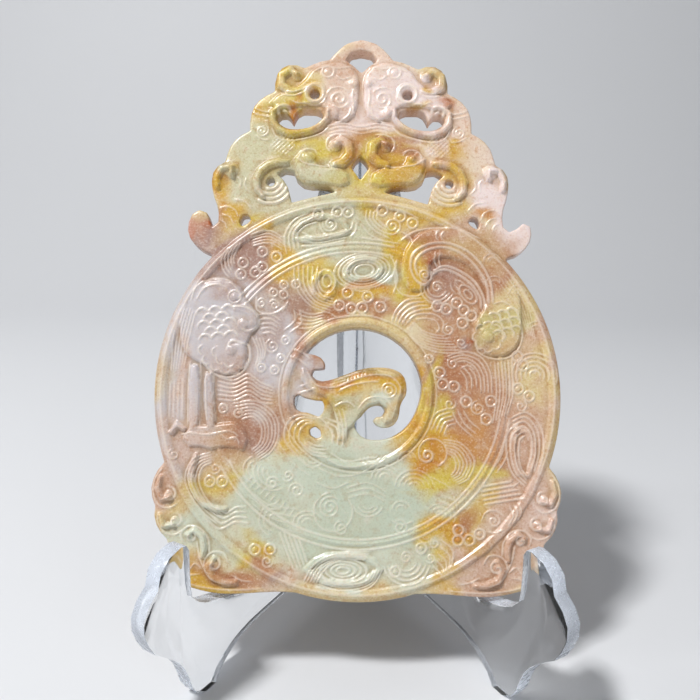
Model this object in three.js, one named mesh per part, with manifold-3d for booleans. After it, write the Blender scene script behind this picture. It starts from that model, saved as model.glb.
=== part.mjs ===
// A carved jade bi disc with a twin-dragon crest, leaning in its clear acrylic stand.
//
// The disc is one piece of jade: a pierced ring with a small dragon curled in its hole, two corner
// flanges below and a pair of beast heads above. It is drawn flat, in (u, v) about the disc's centre,
// then leaned back. The stand is two flat plates that cross in an X and lock by slots.
// Millimetres, +Z up, front towards -Y.

import * as THREE from 'three';
import { mergeVertices } from 'three/addons/utils/BufferGeometryUtils.js';
import Module from 'manifold-3d';

const wasm = await Module();
wasm.setup();

// --- Driving dimensions -------------------------------------------------------------------------

const DISC_R = 45; // outer radius of the bi disc
const LEAN = THREE.MathUtils.degToRad(21); // how far the disc leans back
const GROUND = 2.1; // half the thickness of the sunk ground between the carvings
const RIM_TOP = 2.7; // height of the rims above the middle plane
const FIGURE_TOP = 2.9; // height of the beasts and heads
const DETAIL_TOP = 3.2; // height of the curls that lie on the beasts
const BACK_TOP = 2.7; // height of the plainer carving on the back
const EDGE = 0.45; // rounding of the jade's outer edge
const PAD_EDGE = 0.3; // rounding of each raised form
const PAD_FOOT = 1.2; // where a raised form starts, inside the jade

const HOLE_R = 14.5; // upper arc of the centre hole
const CENTRE = { x: 0, y: 21.5, z: 60.9 }; // the disc's centre, above the line through the front feet

const PLATE = 3.5; // thickness of the acrylic
const PLAN = THREE.MathUtils.degToRad(59); // each plate's plan angle from the X axis
const FOOT_X = 33.7; // half the distance between the front feet
const FIT = 0.35; // clearance between the jade and the stand, and in the slots
const PLATE_TOP = 117; // height of the back rests
const ARCH = 8; // height of the arch under each plate
const REAR_FOOT = 82; // length of a plate from its front foot to its rear foot

const STEP = 2; // spacing of points along the jade's outline and larger gaps
const FINE = { step: 1.4 }; // closer, round the small gaps
const COARSE = { step: 2.5 }; // wider, along the raised forms
const PLAIN = { step: 3 }; // widest, on the back and along the stand's edges
const TURNS = 54; // facets of the round rims
const SAME_POINT = 0.15; // points closer than this are one
const THROUGH = 5; // how far a cutter runs each side of the jade's middle plane

// --- Curves ------------------------------------------------------------------------------------

const mirrored = (points) => points.map(([u, v]) => [-u, v]);

// A smooth run through a few points. An open run keeps both ends; a closed one doesn't repeat its start.
function smooth(points, { closed = false, step = STEP } = {}) {
  const knots = points.map(([u, v]) => new THREE.Vector3(u, v, 0));
  const curve = new THREE.CatmullRomCurve3(knots, closed, 'centripetal');
  const count = Math.max(closed ? 6 : 2, Math.round(curve.getLength() / step));
  const spaced = curve.getSpacedPoints(count).map((p) => new THREE.Vector2(p.x, p.y));
  if (closed) spaced.pop();
  return spaced;
}

// Points on a circle about the disc's centre, from one angle to another, in degrees.
function arc(radius, from, to, step = STEP) {
  const sweep = THREE.MathUtils.degToRad(to - from);
  const count = Math.max(3, Math.round(Math.abs(sweep) * radius / step));
  return Array.from({ length: count + 1 }, (_, i) => {
    const angle = THREE.MathUtils.degToRad(from) + (sweep * i) / count;
    return new THREE.Vector2(radius * Math.cos(angle), radius * Math.sin(angle));
  });
}

// Runs laid end to end, leaving out the points that meet.
function join(...runs) {
  const line = [];
  for (const point of runs.flat()) {
    if (!line.length || line.at(-1).distanceTo(point) > SAME_POINT) line.push(point);
  }
  if (line[0].distanceTo(line.at(-1)) < SAME_POINT) line.pop();
  return line;
}

// The two sides of a band that follows a line. It narrows at its ends by the share taper.
function bandSides(line, width, taper) {
  const last = line.length - 1;
  const sides = [[], []];
  line.forEach((point, i) => {
    const along = line[Math.min(i + 1, last)].clone().sub(line[Math.max(i - 1, 0)]).normalize();
    const fullness = Math.sqrt(Math.max(0, Math.sin((Math.PI * i) / last)));
    const half = (width / 2) * (1 - taper * (1 - fullness));
    sides[0].push(new THREE.Vector2(point.x - along.y * half, point.y + along.x * half));
    sides[1].unshift(new THREE.Vector2(point.x + along.y * half, point.y - along.x * half));
  });
  return sides;
}

// --- Solids ------------------------------------------------------------------------------------

// A closed three.js geometry as a solid that can be joined and cut.
function toSolid(geometry) {
  const bare = geometry.index ? geometry.toNonIndexed() : geometry.clone();
  bare.deleteAttribute('normal');
  bare.deleteAttribute('uv');
  const merged = mergeVertices(bare, 1e-4);
  return new wasm.Manifold(new wasm.Mesh({
    numProp: 3,
    vertProperties: Float32Array.from(merged.attributes.position.array),
    triVerts: Uint32Array.from(merged.index.array),
  }));
}

function toGeometry(solid) {
  const mesh = solid.getMesh();
  const geometry = new THREE.BufferGeometry();
  geometry.setAttribute('position', new THREE.BufferAttribute(mesh.vertProperties, 3));
  geometry.setIndex(new THREE.BufferAttribute(mesh.triVerts, 1));
  geometry.computeVertexNormals();
  return geometry;
}

// An outline drawn out from height low to height high, with edges rounded by the size edge.
function slab(line, low, high, edge = 0) {
  const geometry = new THREE.ExtrudeGeometry(new THREE.Shape(line), {
    depth: high - low - 2 * edge,
    bevelEnabled: edge > 0,
    bevelThickness: edge,
    bevelSize: edge,
    bevelOffset: -edge,
    bevelSegments: 1,
    curveSegments: 1,
  });
  geometry.translate(0, 0, low + edge);
  return toSolid(geometry);
}

// A band round the disc's centre that stands out on both faces, sloping in by flank on each side.
function rim({ inner, outer, top, flank }) {
  const sunk = GROUND - EDGE;
  const profile = [
    [inner, -sunk], [inner + flank, -top], [outer - flank, -top], [outer, -sunk],
    [outer, sunk], [outer - flank, top], [inner + flank, top], [inner, sunk], [inner, -sunk],
  ];
  const geometry = new THREE.LatheGeometry(profile.map(([r, z]) => new THREE.Vector2(r, z)), TURNS);
  geometry.rotateX(Math.PI / 2);
  return toSolid(geometry);
}

// --- The jade's outline ----------------------------------------------------------------------------

// Right half of the crest, from the loop's top down to the base of the tail. Each run is a smooth
// lobe, and the lobes meet in the notches that step the silhouette outwards.
const CREST_LOBES = [
  [[0, 82.4], [3.3, 81.5], [5.6, 79.6], [7.4, 77.4]], // hanging loop
  [[7.4, 77.4], [10, 76.8], [13.2, 75.3]], // brow
  [[13.2, 75.3], [16.1, 76.2], [18.7, 75], [19.9, 72.4], [20, 69.5]], // horn curl
  [[20, 69.5], [22.7, 68], [24.8, 65.6], [25.5, 62.5], [25.5, 60]], // cheek
  [[25.5, 60], [27.8, 58.7], [29.8, 56.4], [31, 52.5]], // neck
];

// The haunch with the tail that curls up from it: open to the right, closed in to the left.
const TAIL_RIGHT = [
  [31, 52.5], [33.2, 51], [33.9, 48.5], [33.6, 45], [32.6, 41.6], [32.5, 38.6], [33.2, 37.2],
  [34.2, 36.9], [35.3, 37.3], [36.3, 38.5], [37.7, 39.2], [38.8, 38.3], [39, 36], [38.2, 33.8],
  [36.3, 31.9], [34, 31.1],
];
const TAIL_LEFT = [
  [-31, 52.5], [-33.2, 51], [-33.9, 48.5], [-33.5, 45], [-32.4, 42], [-32, 39], [-32.5, 37.6],
  [-33.4, 37.2], [-34.1, 37.8], [-34, 39], [-34.4, 40.3], [-36.2, 41.2], [-37.9, 40.4], [-38.9, 37.8],
  [-38.7, 35.2], [-37.1, 32.9], [-35.4, 31.7], [-33.8, 31],
];

// Right corner flange, from the disc's side down to its bottom.
const FLANGE_LOBES = [
  [[42.2, -15.7], [43.7, -17.6], [44.8, -20.6], [44.6, -23.2], [43.8, -25.2]],
  [[43.8, -25.2], [43.9, -27.6], [42.8, -30.3], [41, -32.2]],
  [[41, -32.2], [40.2, -35], [39.7, -38.4]],
  [[39.7, -38.4], [38.4, -41], [35.5, -42.3], [29.7, -43.5], [25, -43.5], [20.6, -43.2], [16.4, -43],
    [12.9, -43.1]],
];

const DISC_SIDE = [42.6, -20.4]; // angles between which the disc's own right edge shows
const DISC_FOOT = [-73.4, -106.6]; // and its bottom edge

function jadeOutline() {
  const right = [...CREST_LOBES, TAIL_RIGHT].map((lobe) => smooth(lobe));
  const left = [...CREST_LOBES.map(mirrored), TAIL_LEFT].map((lobe) => smooth(lobe).reverse());
  const flange = FLANGE_LOBES.map((lobe) => smooth(lobe));
  const flangeLeft = FLANGE_LOBES.map((lobe) => smooth(mirrored(lobe)).reverse());
  const line = join(
    ...right,
    arc(DISC_R, ...DISC_SIDE),
    ...flange,
    arc(DISC_R, ...DISC_FOOT),
    ...flangeLeft.reverse(),
    arc(DISC_R, 180 - DISC_SIDE[1], 180 - DISC_SIDE[0]),
    ...left.reverse(),
  );
  return line.reverse();
}

// --- What is cut through the jade ------------------------------------------------------------------

const HOLE_ARC = [143, 8]; // angles between which the centre hole's own round edge shows

// Around the little dragon in the centre: over its back, round its snout and under its chin.
const DRAGON_GAP = [
  [14.4, 1.9], [14.1, -0.5], [13.4, -3], [12.3, -5.4], [10.3, -7.9], [7.6, -9.6], [4.4, -10.3],
  [1.4, -9.8], [-0.3, -8], [-0.7, -6.5], [0.2, -5.9], [1.2, -4.9], [2.1, -3.6], [3.6, -2.8],
  [5.2, -2.7], [6.1, -3.7], [5.6, -5], [3.9, -5.3], [3.3, -5.9], [4, -7], [5.8, -7.7], [7.8, -7.2],
  [9.1, -5.4], [9.4, -3.2], [9.6, -2.1], [10.6, -0.8], [10.9, 1.6], [10.1, 4.1], [8, 5.4], [4.6, 5.8],
  [1, 5.4], [-3, 4], [-6.2, 2.8], [-8.6, 2.6], [-10.2, 3.8], [-10.1, 4.9], [-8.9, 5.2], [-7.6, 4.9],
  [-7.2, 5.7], [-7.6, 7.2], [-8.8, 8.1], [-10.8, 8.6],
];
const BELLY_GAP = [
  [-14.1, -1], [-13.6, -0.3], [-12.4, -1], [-9.6, -1.7], [-7.6, -1.9], [-7.3, -3.2], [-8.2, -5.3],
  [-9.4, -5], [-11.4, -4.3], [-13.2, -4.2], [-14, -2.8],
];
const MANE_GAP = [[-10.5, -8.1], [-9.2, -7.5], [-7.8, -8.9], [-8.1, -10.1], [-9.5, -10], [-10.6, -9]];

// Right half of the crest. Each gap is a few lobes that meet in corners.
const MOUTH = [
  [[8.6, 63.4], [9.4, 65], [11.5, 65.3], [13.8, 65.2], [15, 64], [15.6, 61.9]],
  [[15.6, 61.9], [16.6, 64], [18, 64.3], [19.3, 63.4], [18.7, 61.7], [16.6, 60.6], [13.4, 60.6],
    [10.6, 61.5], [8.6, 63.4]],
];
const SHOULDER_GAP = [
  [[5.5, 45.8], [7.6, 47.1], [12, 47.2], [14.2, 48.3], [15.2, 50.6]],
  [[15.2, 50.6], [17.6, 50.8], [19, 49.8]],
  [[19, 49.8], [17, 47.9], [16.1, 45.6], [15.6, 43.1]],
  [[15.6, 43.1], [11.8, 44.2], [5.5, 45.8]],
];
const CHEST_GAP = [[[0, 48.6], [0.9, 50], [2, 51.5], [1.1, 53.2], [0, 54.3]]];
const LOOP_GAP = [[[0, 74.2], [1.4, 75.6], [3.6, 77.2]], [[3.6, 77.2], [3, 78.7], [1.6, 79.5], [0, 79.7]]];
const TAIL_GAP = [[24.6, 39], [25.9, 40.4], [27, 39.6], [27.2, 37.9], [26.5, 37.3], [25.5, 38.1]];

const EYE = { u: 10.7, v: 68.7, r: 1.15 };
const CURL_HOLE = { u: 20.4, v: 47.9, r: 1 };
const DISC_SIDES = 10; // facets of these small round holes

function disc({ u, v, r }) {
  return Array.from({ length: DISC_SIDES }, (_, i) => {
    const angle = (2 * Math.PI * i) / DISC_SIDES;
    return new THREE.Vector2(u + r * Math.cos(angle), v + r * Math.sin(angle));
  });
}

// A gap that spans the middle line: its right half and the same mirrored.
function symmetric(lobes) {
  const half = join(...lobes.map((lobe) => smooth(lobe)));
  const other = half.slice(1, -1).map((p) => new THREE.Vector2(-p.x, p.y)).reverse();
  return [...half, ...other];
}

function jadeGaps() {
  const gaps = [
    join(arc(HOLE_R, ...HOLE_ARC), smooth(DRAGON_GAP, FINE)),
    smooth(BELLY_GAP, { closed: true, ...FINE }),
    smooth(MANE_GAP, { closed: true, ...FINE }),
    symmetric(CHEST_GAP),
    symmetric(LOOP_GAP),
  ];
  for (const side of [(p) => p, mirrored]) {
    gaps.push(join(...MOUTH.map((lobe) => smooth(side(lobe), FINE))));
    gaps.push(join(...SHOULDER_GAP.map((lobe) => smooth(side(lobe)))));
    gaps.push(smooth(side(TAIL_GAP), { closed: true, ...FINE }));
  }
  for (const sign of [1, -1]) {
    gaps.push(disc({ ...EYE, u: sign * EYE.u }), disc({ ...CURL_HOLE, u: sign * CURL_HOLE.u }));
  }
  return gaps.map((line) => slab(line, -THROUGH, THROUGH));
}

// --- The carving -----------------------------------------------------------------------------------

// Raised masses: a closed outline each. The crest's and the flanges' are given for the right side.
const HEAD = [
  [1, 73.4], [3.5, 76], [8.4, 76], [11.6, 74.2], [13, 71.9], [15.7, 69.7], [19, 68.4], [21, 66.5],
  [20, 65.2], [17, 65.3], [11, 66.3], [8.4, 65.8], [6.3, 63.2], [3.6, 62.3], [1.6, 63.7], [0.7, 67.5],
];
const FORE_LEG = [
  [14.6, 51.2], [14.8, 53.7], [13.4, 55], [11.6, 54.6], [10.4, 52.4], [8, 51.2], [5.2, 51.2],
  [3.1, 50.1], [2.2, 48.4], [3.2, 47], [8, 47.6], [12.6, 48],
];
const RIGHT_BEAST = [
  [10, 25.1], [9.7, 29.2], [10.8, 32.9], [13.5, 36.1], [17.4, 37.4], [22.6, 37.1], [26.1, 35.6],
  [29.1, 32.7], [31.6, 29.6], [34.2, 26.1], [36, 21.5], [36.4, 16.8], [35.9, 12.2], [34.2, 9.6],
  [31.2, 8.5], [28.2, 8.9], [26.2, 10.7], [25.4, 13.6], [26, 16.3], [28.2, 19.1], [28.7, 22],
  [27.4, 25.7], [24.8, 28.8], [20.9, 30.7], [17.2, 30.5], [15.6, 28.7], [15.9, 26.1], [14.8, 23.6],
  [12.2, 22.8],
];
const LEFT_BEAST = [
  [-37.6, 22.4], [-34.1, 24.6], [-30, 25], [-26.6, 23.4], [-25.2, 20.3], [-22.9, 18.1], [-22, 15.6],
  [-23.5, 13.4], [-24.8, 11], [-24.5, 7.3], [-25.6, 4.9], [-28.1, 3.7], [-31.1, 3.9], [-33.4, 5.2],
  [-35.2, 6.5], [-37.7, 7.7], [-39.5, 11.7], [-39.5, 17.3],
];
const LEFT_FOOT = [
  [-38.2, -10.2], [-36.6, -8], [-31, -7.5], [-27.9, -6.7], [-25.7, -7.3], [-24.3, -9.5], [-24, -12],
  [-25.4, -13.2], [-27.8, -11.9], [-31.8, -12.7], [-33.8, -12], [-36, -12.6],
];
const SMALL_DRAGON = [
  [-12.4, 5.6], [-12.5, 3.3], [-11.2, 1], [-8.8, -0.5], [-6, -1.4], [-5.3, -3.6], [-4.4, -6.8],
  [-4, -10.8], [-2.6, -10.9], [-2, -7.8], [-0.4, -6.4], [1, -4.2], [2.9, -2.4], [5, -2], [6.6, -3.2],
  [6.2, -5.4], [4.8, -6], [6.2, -6.9], [7.8, -6], [8.7, -4.2], [8.8, -2], [9.8, -0.4], [10.2, 1.7],
  [9.4, 3.6], [7.4, 4.7], [4.5, 5], [1, 4.6], [-3, 3.1], [-7, 1.9], [-9.3, 2], [-11, 3.7],
];

// Raised bands: the line each follows and its width. Curls run in to their centres.
const CREST_BANDS = [
  [2, [[13.6, 69.6], [16.7, 69.4], [18.6, 71], [18.6, 73.2], [17, 74.5], [15.2, 74.2], [14.6, 73]]],
  [1.5, [[7.6, 65.4], [7.9, 62.8], [10.4, 60.5], [13.5, 59.5], [16.4, 59.3], [19, 60.2], [20.4, 62.4],
    [20.2, 64.6], [18.6, 66]]],
  [2.2, [[6.7, 51.9], [3.4, 52.9], [2.4, 55.4], [3.4, 57.7], [5.4, 57.8], [6.2, 56.4]]],
  [1.7, [[16.2, 52.4], [19, 52.4], [22, 51.2], [23.5, 48.6], [23.4, 46], [21.8, 44.2]]],
  [1.5, [[32.4, 46], [32.7, 48.8], [31.5, 51], [29.8, 51.3], [28.6, 50.1], [29.3, 48.7]]],
];
const FLANGE_BANDS = [
  [1.3, [[42.7, -18.5], [43.3, -21.1], [42.4, -23.5], [40.9, -24], [40.1, -22.9]]],
  [1.3, [[42.6, -26.6], [42, -29], [40.4, -29.7], [39.1, -28.9]]],
  [1.4, [[33.1, -36], [32.7, -33.1], [33.7, -30.7], [35.7, -30], [36.8, -31.3]]],
  [1.4, [[25.3, -41], [29.2, -40.8], [31.6, -38.9], [31.7, -36.6], [30.3, -35.7]]],
];
const RING_BANDS = [
  [1.9, [[-28, 18.3], [-25.1, 18.3], [-23.3, 16.7], [-23.3, 14.8], [-25, 14.2]]],
  [1.9, [[-25.3, 7.2], [-25.4, 9.3], [-26.9, 10.4], [-28.8, 9.8]]],
  [2.4, [[-36.1, 5.7], [-35.9, -0.4], [-35.9, -8.6]]],
  [2.2, [[-33, 3.9], [-32.8, -1.4], [-32, -8]]],
  [1.5, [[-40.9, -9.4], [-40, -7.6], [-38.5, -7.4], [-37.7, -8.6]]],
  [1.5, [[-35, -13.7], [-36.2, -18.1], [-34.8, -22.5], [-31.5, -25.3], [-28, -25.5]]],
  [1.8, [[31, 12], [30.6, 14.2], [28.7, 15], [27.2, 13.9]]],
];
const RING_LOOPS = [
  [1.3, [[-14.8, 34.6], [-14.6, 37], [-11.8, 39.3], [-7.2, 40], [-3.6, 38.9], [-2.6, 36.6], [-5, 35.6],
    [-9.4, 34.9]]],
  [1.3, [[-3, 26.1], [-2, 29.2], [1, 30.3], [4.2, 29.7], [5.3, 28], [4.1, 26.4], [1.2, 25.6]]],
  [1.3, [[-10.1, 22], [-10.2, 25.1], [-8.8, 27.1], [-6.5, 27], [-5.3, 25.1], [-5.5, 22.6], [-7.7, 21]]],
  [1.3, [[35.1, -7.3], [38, -8.5], [38.8, -11.8], [38.3, -15.7], [37, -18.1], [35.2, -16.5],
    [34.3, -13.4], [34.2, -10.1]]],
  [1.4, [[-10.6, -38], [-6.6, -35.4], [-2.4, -34.9], [2.2, -35.4], [5.4, -37.6], [2.2, -40.2],
    [-2.4, -41], [-7.4, -40.3]]],
];

const BAND_TAPER = 0.4; // how much a band narrows at its ends

// A closed outline standing out from the front, with rounded edges.
function raised(line, top) {
  return slab(line, PAD_FOOT, top, PAD_EDGE);
}

// The same standing out from the back, with plain edges.
function behind(line) {
  return slab(line, -BACK_TOP, -PAD_FOOT);
}

function band([width, points], top) {
  return raised(bandSides(smooth(points, COARSE), width, BAND_TAPER).flat(), top);
}

// A band that closes on itself: its outer line, less its inner one.
function loop([width, points], top) {
  const line = smooth(points, { closed: true, ...COARSE });
  const ring = [line.at(-1), ...line, line[0]];
  const sides = bandSides(ring, width, 0).map((side) => side.slice(1, -1));
  const size = (side) => Math.abs(THREE.ShapeUtils.area(side));
  const [outer, inner] = sides.sort((a, b) => size(b) - size(a));
  return raised(outer, top).subtract(slab(inner, 0, top + 1));
}

function bothSides(points) {
  return [points, mirrored(points)];
}

function frontCarving() {
  const massOutlines = [RIGHT_BEAST, LEFT_BEAST, LEFT_FOOT, SMALL_DRAGON];
  const crest = [...bothSides(HEAD), ...bothSides(FORE_LEG)];
  const masses = [...crest, ...massOutlines].map((outline) => (
    raised(smooth(outline, { closed: true, ...COARSE }), FIGURE_TOP)));
  const paired = [...CREST_BANDS, ...FLANGE_BANDS].flatMap(([width, points]) => (
    bothSides(points).map((side) => band([width, side], DETAIL_TOP))));
  const bands = RING_BANDS.map((entry) => band(entry, DETAIL_TOP));
  const loops = RING_LOOPS.map((entry) => loop(entry, RIM_TOP));
  return [...masses, ...paired, ...bands, ...loops];
}

function backCarving() {
  const outlines = [...bothSides(HEAD), ...bothSides(FORE_LEG), RIGHT_BEAST, LEFT_BEAST];
  return outlines.map((outline) => behind(smooth(outline, { closed: true, ...PLAIN })));
}

// The raised rings about the centre: outer rim, cord ring and inner rim.
const OUTER_RIM = { inner: 42.1, outer: 44.5, top: RIM_TOP, flank: EDGE };
const CORD_RING = { inner: 31.8, outer: 33.6, top: 2.5, flank: 0.8 };
const INNER_RIM = { inner: HOLE_R + 0.5, outer: HOLE_R + 2.5, top: RIM_TOP, flank: EDGE };

function jadeSolid() {
  const body = slab(jadeOutline(), -GROUND, GROUND, EDGE);
  const rims = [OUTER_RIM, CORD_RING, INNER_RIM].map(rim);
  const whole = wasm.Manifold.union([body, ...rims, ...frontCarving(), ...backCarving()]);
  return whole.subtract(wasm.Manifold.union(jadeGaps()));
}

// --- The stand -------------------------------------------------------------------------------------

const CROSSING = FOOT_X / Math.cos(PLAN); // where the plates cross, along each from its front foot
const SLOT_Z = (PLATE_TOP + ARCH) / 2; // where the two slots meet
const SLOT_RUN = 10; // how far a slot's cutter runs past the plate's edge
const SLOT_REACH = 40; // and how long the cutter is, across the plate
const BOTTOM = 43.6; // the jade's lowest line, below the disc's centre
const BEHIND = BACK_TOP + 0.2 + FIT; // where the back rests start, behind the jade's middle plane
const SHELF_FRONT = 2; // where the shelf starts, along a plate
const SHELF_DEPTH = 1.2; // how far before the back rest it ends
const LIP_BACK = -2.4; // the back of the lip that stands before the jade's lower corner

// Where the back rest's edge is along a plate, at a height z.
function restAt(z) {
  const v = (z - CENTRE.z + BEHIND * Math.sin(LEAN)) / Math.cos(LEAN);
  const y = CENTRE.y + v * Math.sin(LEAN) + BEHIND * Math.cos(LEAN);
  return (y + (PLATE / 2) * Math.cos(PLAN)) / Math.sin(PLAN);
}

// The height of the shelf under the jade's lower edge, at s along a plate.
function shelfAt(s) {
  const v = -(BOTTOM + FIT);
  const y = s * Math.sin(PLAN) + (PLATE / 2) * Math.cos(PLAN);
  const w = (y - CENTRE.y - v * Math.sin(LEAN)) / Math.cos(LEAN);
  return CENTRE.z + v * Math.cos(LEAN) - w * Math.sin(LEAN);
}

// A plate seen from its side: s runs back from the front foot, z is up.
function plateOutline() {
  const shelfBack = restAt(shelfAt(11)) - SHELF_DEPTH;
  const shelfEnd = shelfAt(shelfBack);
  const runs = [
    [[-11.2, 31.1], [-10.6, 33.6], [-9.3, 35.4], [-7, 36.8], [-4.6, 37.2]], // lip
    [[-4.6, 37.2], [-3, 36.8], [LIP_BACK, 35.6]],
    [[LIP_BACK, 35.6], [LIP_BACK, 26.5], [-1.8, 23.8], [SHELF_FRONT, shelfAt(SHELF_FRONT)]], // notch
    [[shelfBack, shelfEnd], [shelfBack + 1, shelfEnd + 0.4], [restAt(22), 22]], // inner corner
    [[restAt(110), 110], [54.5, 115.6], [59, PLATE_TOP], [63.6, 115.4], [67.5, 110]], // head
    [[67.5, 110], [74, 70], [80, 30], [83.4, 10], [84.4, 4], [82.6, 0.8], [80.6, 0]], // spine
    [[REAR_FOOT - 4, 0], [REAR_FOOT - 6, 2.6], [REAR_FOOT - 13, 6.6], [REAR_FOOT - 26, ARCH], [42, ARCH],
      [25, ARCH - 0.3], [13.8, 6.6], [6.4, 3.4], [3.6, 0]], // arch
    [[0.4, 0], [-1.8, 1.2], [-3.4, 3.8], [-4.4, 7.2], [-5.8, 10.6], [-9, 14.4], [-12.8, 17.8]], // toe
    [[-12.8, 17.8], [-14.7, 21.6], [-15.4, 25.2], [-14.6, 27.8], [-12.9, 29.8], [-11.2, 31.1]], // bulge
  ];
  return join(...runs.map((run) => smooth(run, PLAIN))).reverse();
}

// Stands a piece up that was drawn flat, in the place of the left plate (side -1) or the right (+1).
function standUp(geometry, side) {
  geometry.rotateX(Math.PI / 2);
  geometry.rotateZ(side < 0 ? PLAN : Math.PI - PLAN);
  geometry.translate(side * FOOT_X, 0, 0);
  return toSolid(geometry);
}

function plateBlank(side) {
  const shape = new THREE.Shape(plateOutline());
  const geometry = new THREE.ExtrudeGeometry(shape, { depth: PLATE, bevelEnabled: false });
  geometry.translate(0, 0, -PLATE / 2);
  return standUp(geometry, side);
}

// The block that one plate takes up at the crossing, with room to slide, from height low to high.
function slotBlock(side, low, high) {
  const geometry = new THREE.BoxGeometry(SLOT_REACH, high - low, PLATE + 2 * FIT);
  geometry.translate(CROSSING, (low + high) / 2, 0);
  return standUp(geometry, side);
}

const plateLeftSolid = plateBlank(-1).subtract(slotBlock(1, SLOT_Z, PLATE_TOP + SLOT_RUN));
const plateRightSolid = plateBlank(1).subtract(slotBlock(-1, -SLOT_RUN, SLOT_Z + FIT));

// --- Materials and scene ----------------------------------------------------------------------------

const jadeMaterial = new THREE.MeshStandardMaterial({ color: 0xb9ad82, roughness: 0.28, metalness: 0 });

function acrylicMaterial() {
  return new THREE.MeshStandardMaterial({
    color: 0xdfe8ef, roughness: 0.05, metalness: 0, transparent: true, opacity: 0.35,
  });
}

const jade = new THREE.Mesh(toGeometry(jadeSolid()), jadeMaterial);
jade.name = 'jade_disc';
jade.rotation.x = Math.PI / 2 - LEAN;
jade.position.set(CENTRE.x, CENTRE.y, CENTRE.z);

const plateLeft = new THREE.Mesh(toGeometry(plateLeftSolid), acrylicMaterial());
plateLeft.name = 'stand_plate_left';

const plateRight = new THREE.Mesh(toGeometry(plateRightSolid), acrylicMaterial());
plateRight.name = 'stand_plate_right';

const model = new THREE.Group();
model.add(jade, plateLeft, plateRight);

// The origin is on the ground, under the middle of the whole.
model.updateMatrixWorld(true);
const middle = new THREE.Box3().setFromObject(model, true).getCenter(new THREE.Vector3());
model.position.set(-middle.x, -middle.y, 0);
model.updateMatrixWorld(true);

export default model;
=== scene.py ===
# %% [markdown]
# # A carved jade bi disc on its clear stand
#
# The object is three pieces: a pierced jade disc with a twin-dragon crest, and the two acrylic
# plates it leans on. The solid frame already holds their places. Here the jade gets its fine
# carving and its skin colours, and the plates get smooth edges and a clear material.

import math

import bmesh
import bpy
import numpy as np
from mathutils import Euler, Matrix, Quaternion, Vector


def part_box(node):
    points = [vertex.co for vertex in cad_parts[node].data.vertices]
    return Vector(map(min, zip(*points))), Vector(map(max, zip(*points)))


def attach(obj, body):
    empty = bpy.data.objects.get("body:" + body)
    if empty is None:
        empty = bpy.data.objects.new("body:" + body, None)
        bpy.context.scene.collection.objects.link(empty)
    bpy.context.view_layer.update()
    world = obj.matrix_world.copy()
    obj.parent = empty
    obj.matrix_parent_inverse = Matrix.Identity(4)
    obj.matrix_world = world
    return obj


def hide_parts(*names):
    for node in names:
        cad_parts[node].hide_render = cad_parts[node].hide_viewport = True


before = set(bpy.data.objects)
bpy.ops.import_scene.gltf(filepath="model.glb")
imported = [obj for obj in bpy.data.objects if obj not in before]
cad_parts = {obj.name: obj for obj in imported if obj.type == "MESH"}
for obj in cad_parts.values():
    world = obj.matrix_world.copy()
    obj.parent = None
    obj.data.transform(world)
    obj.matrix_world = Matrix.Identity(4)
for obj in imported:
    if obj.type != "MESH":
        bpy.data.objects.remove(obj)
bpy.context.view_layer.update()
MM = 0.001

# %% [markdown]
# ## The camera
#
# The disc is looked at from a little above its middle, about 160 mm in front, through a normal lens.
# From so near the view has some perspective, and the foot of the stand looks larger. The camera is
# made first, since everything after it is seen through it.

# %% The camera
CAMERA_AT = (-1.8, -161.35, 112.0)  # mm
CAMERA_DOWN = 15.0  # degrees below level
CAMERA_ROLL = 0.77  # degrees
LENS = 37.03  # mm
SENSOR = 36.0  # mm
SEEN_RANGE = (0.01, 20.0)  # nearest and farthest thing the camera sees, metres

camera_data = bpy.data.cameras.new("camera")
camera_data.lens = LENS
camera_data.sensor_width = SENSOR
camera_data.clip_start, camera_data.clip_end = SEEN_RANGE
camera = bpy.data.objects.new("camera", camera_data)
camera.location = [c * MM for c in CAMERA_AT]
camera.rotation_mode = "QUATERNION"
pitch = Euler((math.radians(90 - CAMERA_DOWN), 0, 0)).to_quaternion()
camera.rotation_quaternion = pitch @ Quaternion((0, 0, 1), math.radians(CAMERA_ROLL))
bpy.context.scene.collection.objects.link(camera)
bpy.context.scene.camera = camera
print("camera at", [round(c, 3) for c in camera.location])

# %% [markdown]
# ## Where the jade is
#
# The jade is flat and leans back, so it is easiest to carve in its own axes: u to the right, v up
# its face, w out of its front. The lean is a named size of the object. The disc's centre is found
# from the lowest corner of the solid, which hangs a known way below it.

# %% The jade's own axes
LEAN = math.radians(21)
GROUND = 2.1  # half the thickness of the sunk ground, mm
CENTRE_FROM_LOW = (45.0, 18.35, 42.6)  # from the lowest corner of the jade's box, mm

jade_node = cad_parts["jade_disc"]
jade_low = np.array(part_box("jade_disc")[0]) / MM
CENTRE = jade_low + np.array(CENTRE_FROM_LOW)
AXES = np.array([
    (1, 0, 0),
    (0, math.sin(LEAN), math.cos(LEAN)),
    (0, -math.cos(LEAN), math.sin(LEAN)),
])


def node_triangles(node):
    """The corners of a node's triangles, in mm, as an array of (triangle, corner, axis)."""
    mesh = node.data
    mesh.calc_loop_triangles()
    places = np.empty(len(mesh.vertices) * 3, np.float32)
    mesh.vertices.foreach_get("co", places)
    corners = np.empty(len(mesh.loop_triangles) * 3, np.int32)
    mesh.loop_triangles.foreach_get("vertices", corners)
    return (places.reshape(-1, 3)[corners].reshape(-1, 3, 3) / MM).astype(np.float64)


solid = (node_triangles(jade_node) - CENTRE) @ AXES.T
print("the jade in its own axes runs from", solid.min((0, 1)).round(2), "to", solid.max((0, 1)).round(2))

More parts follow.
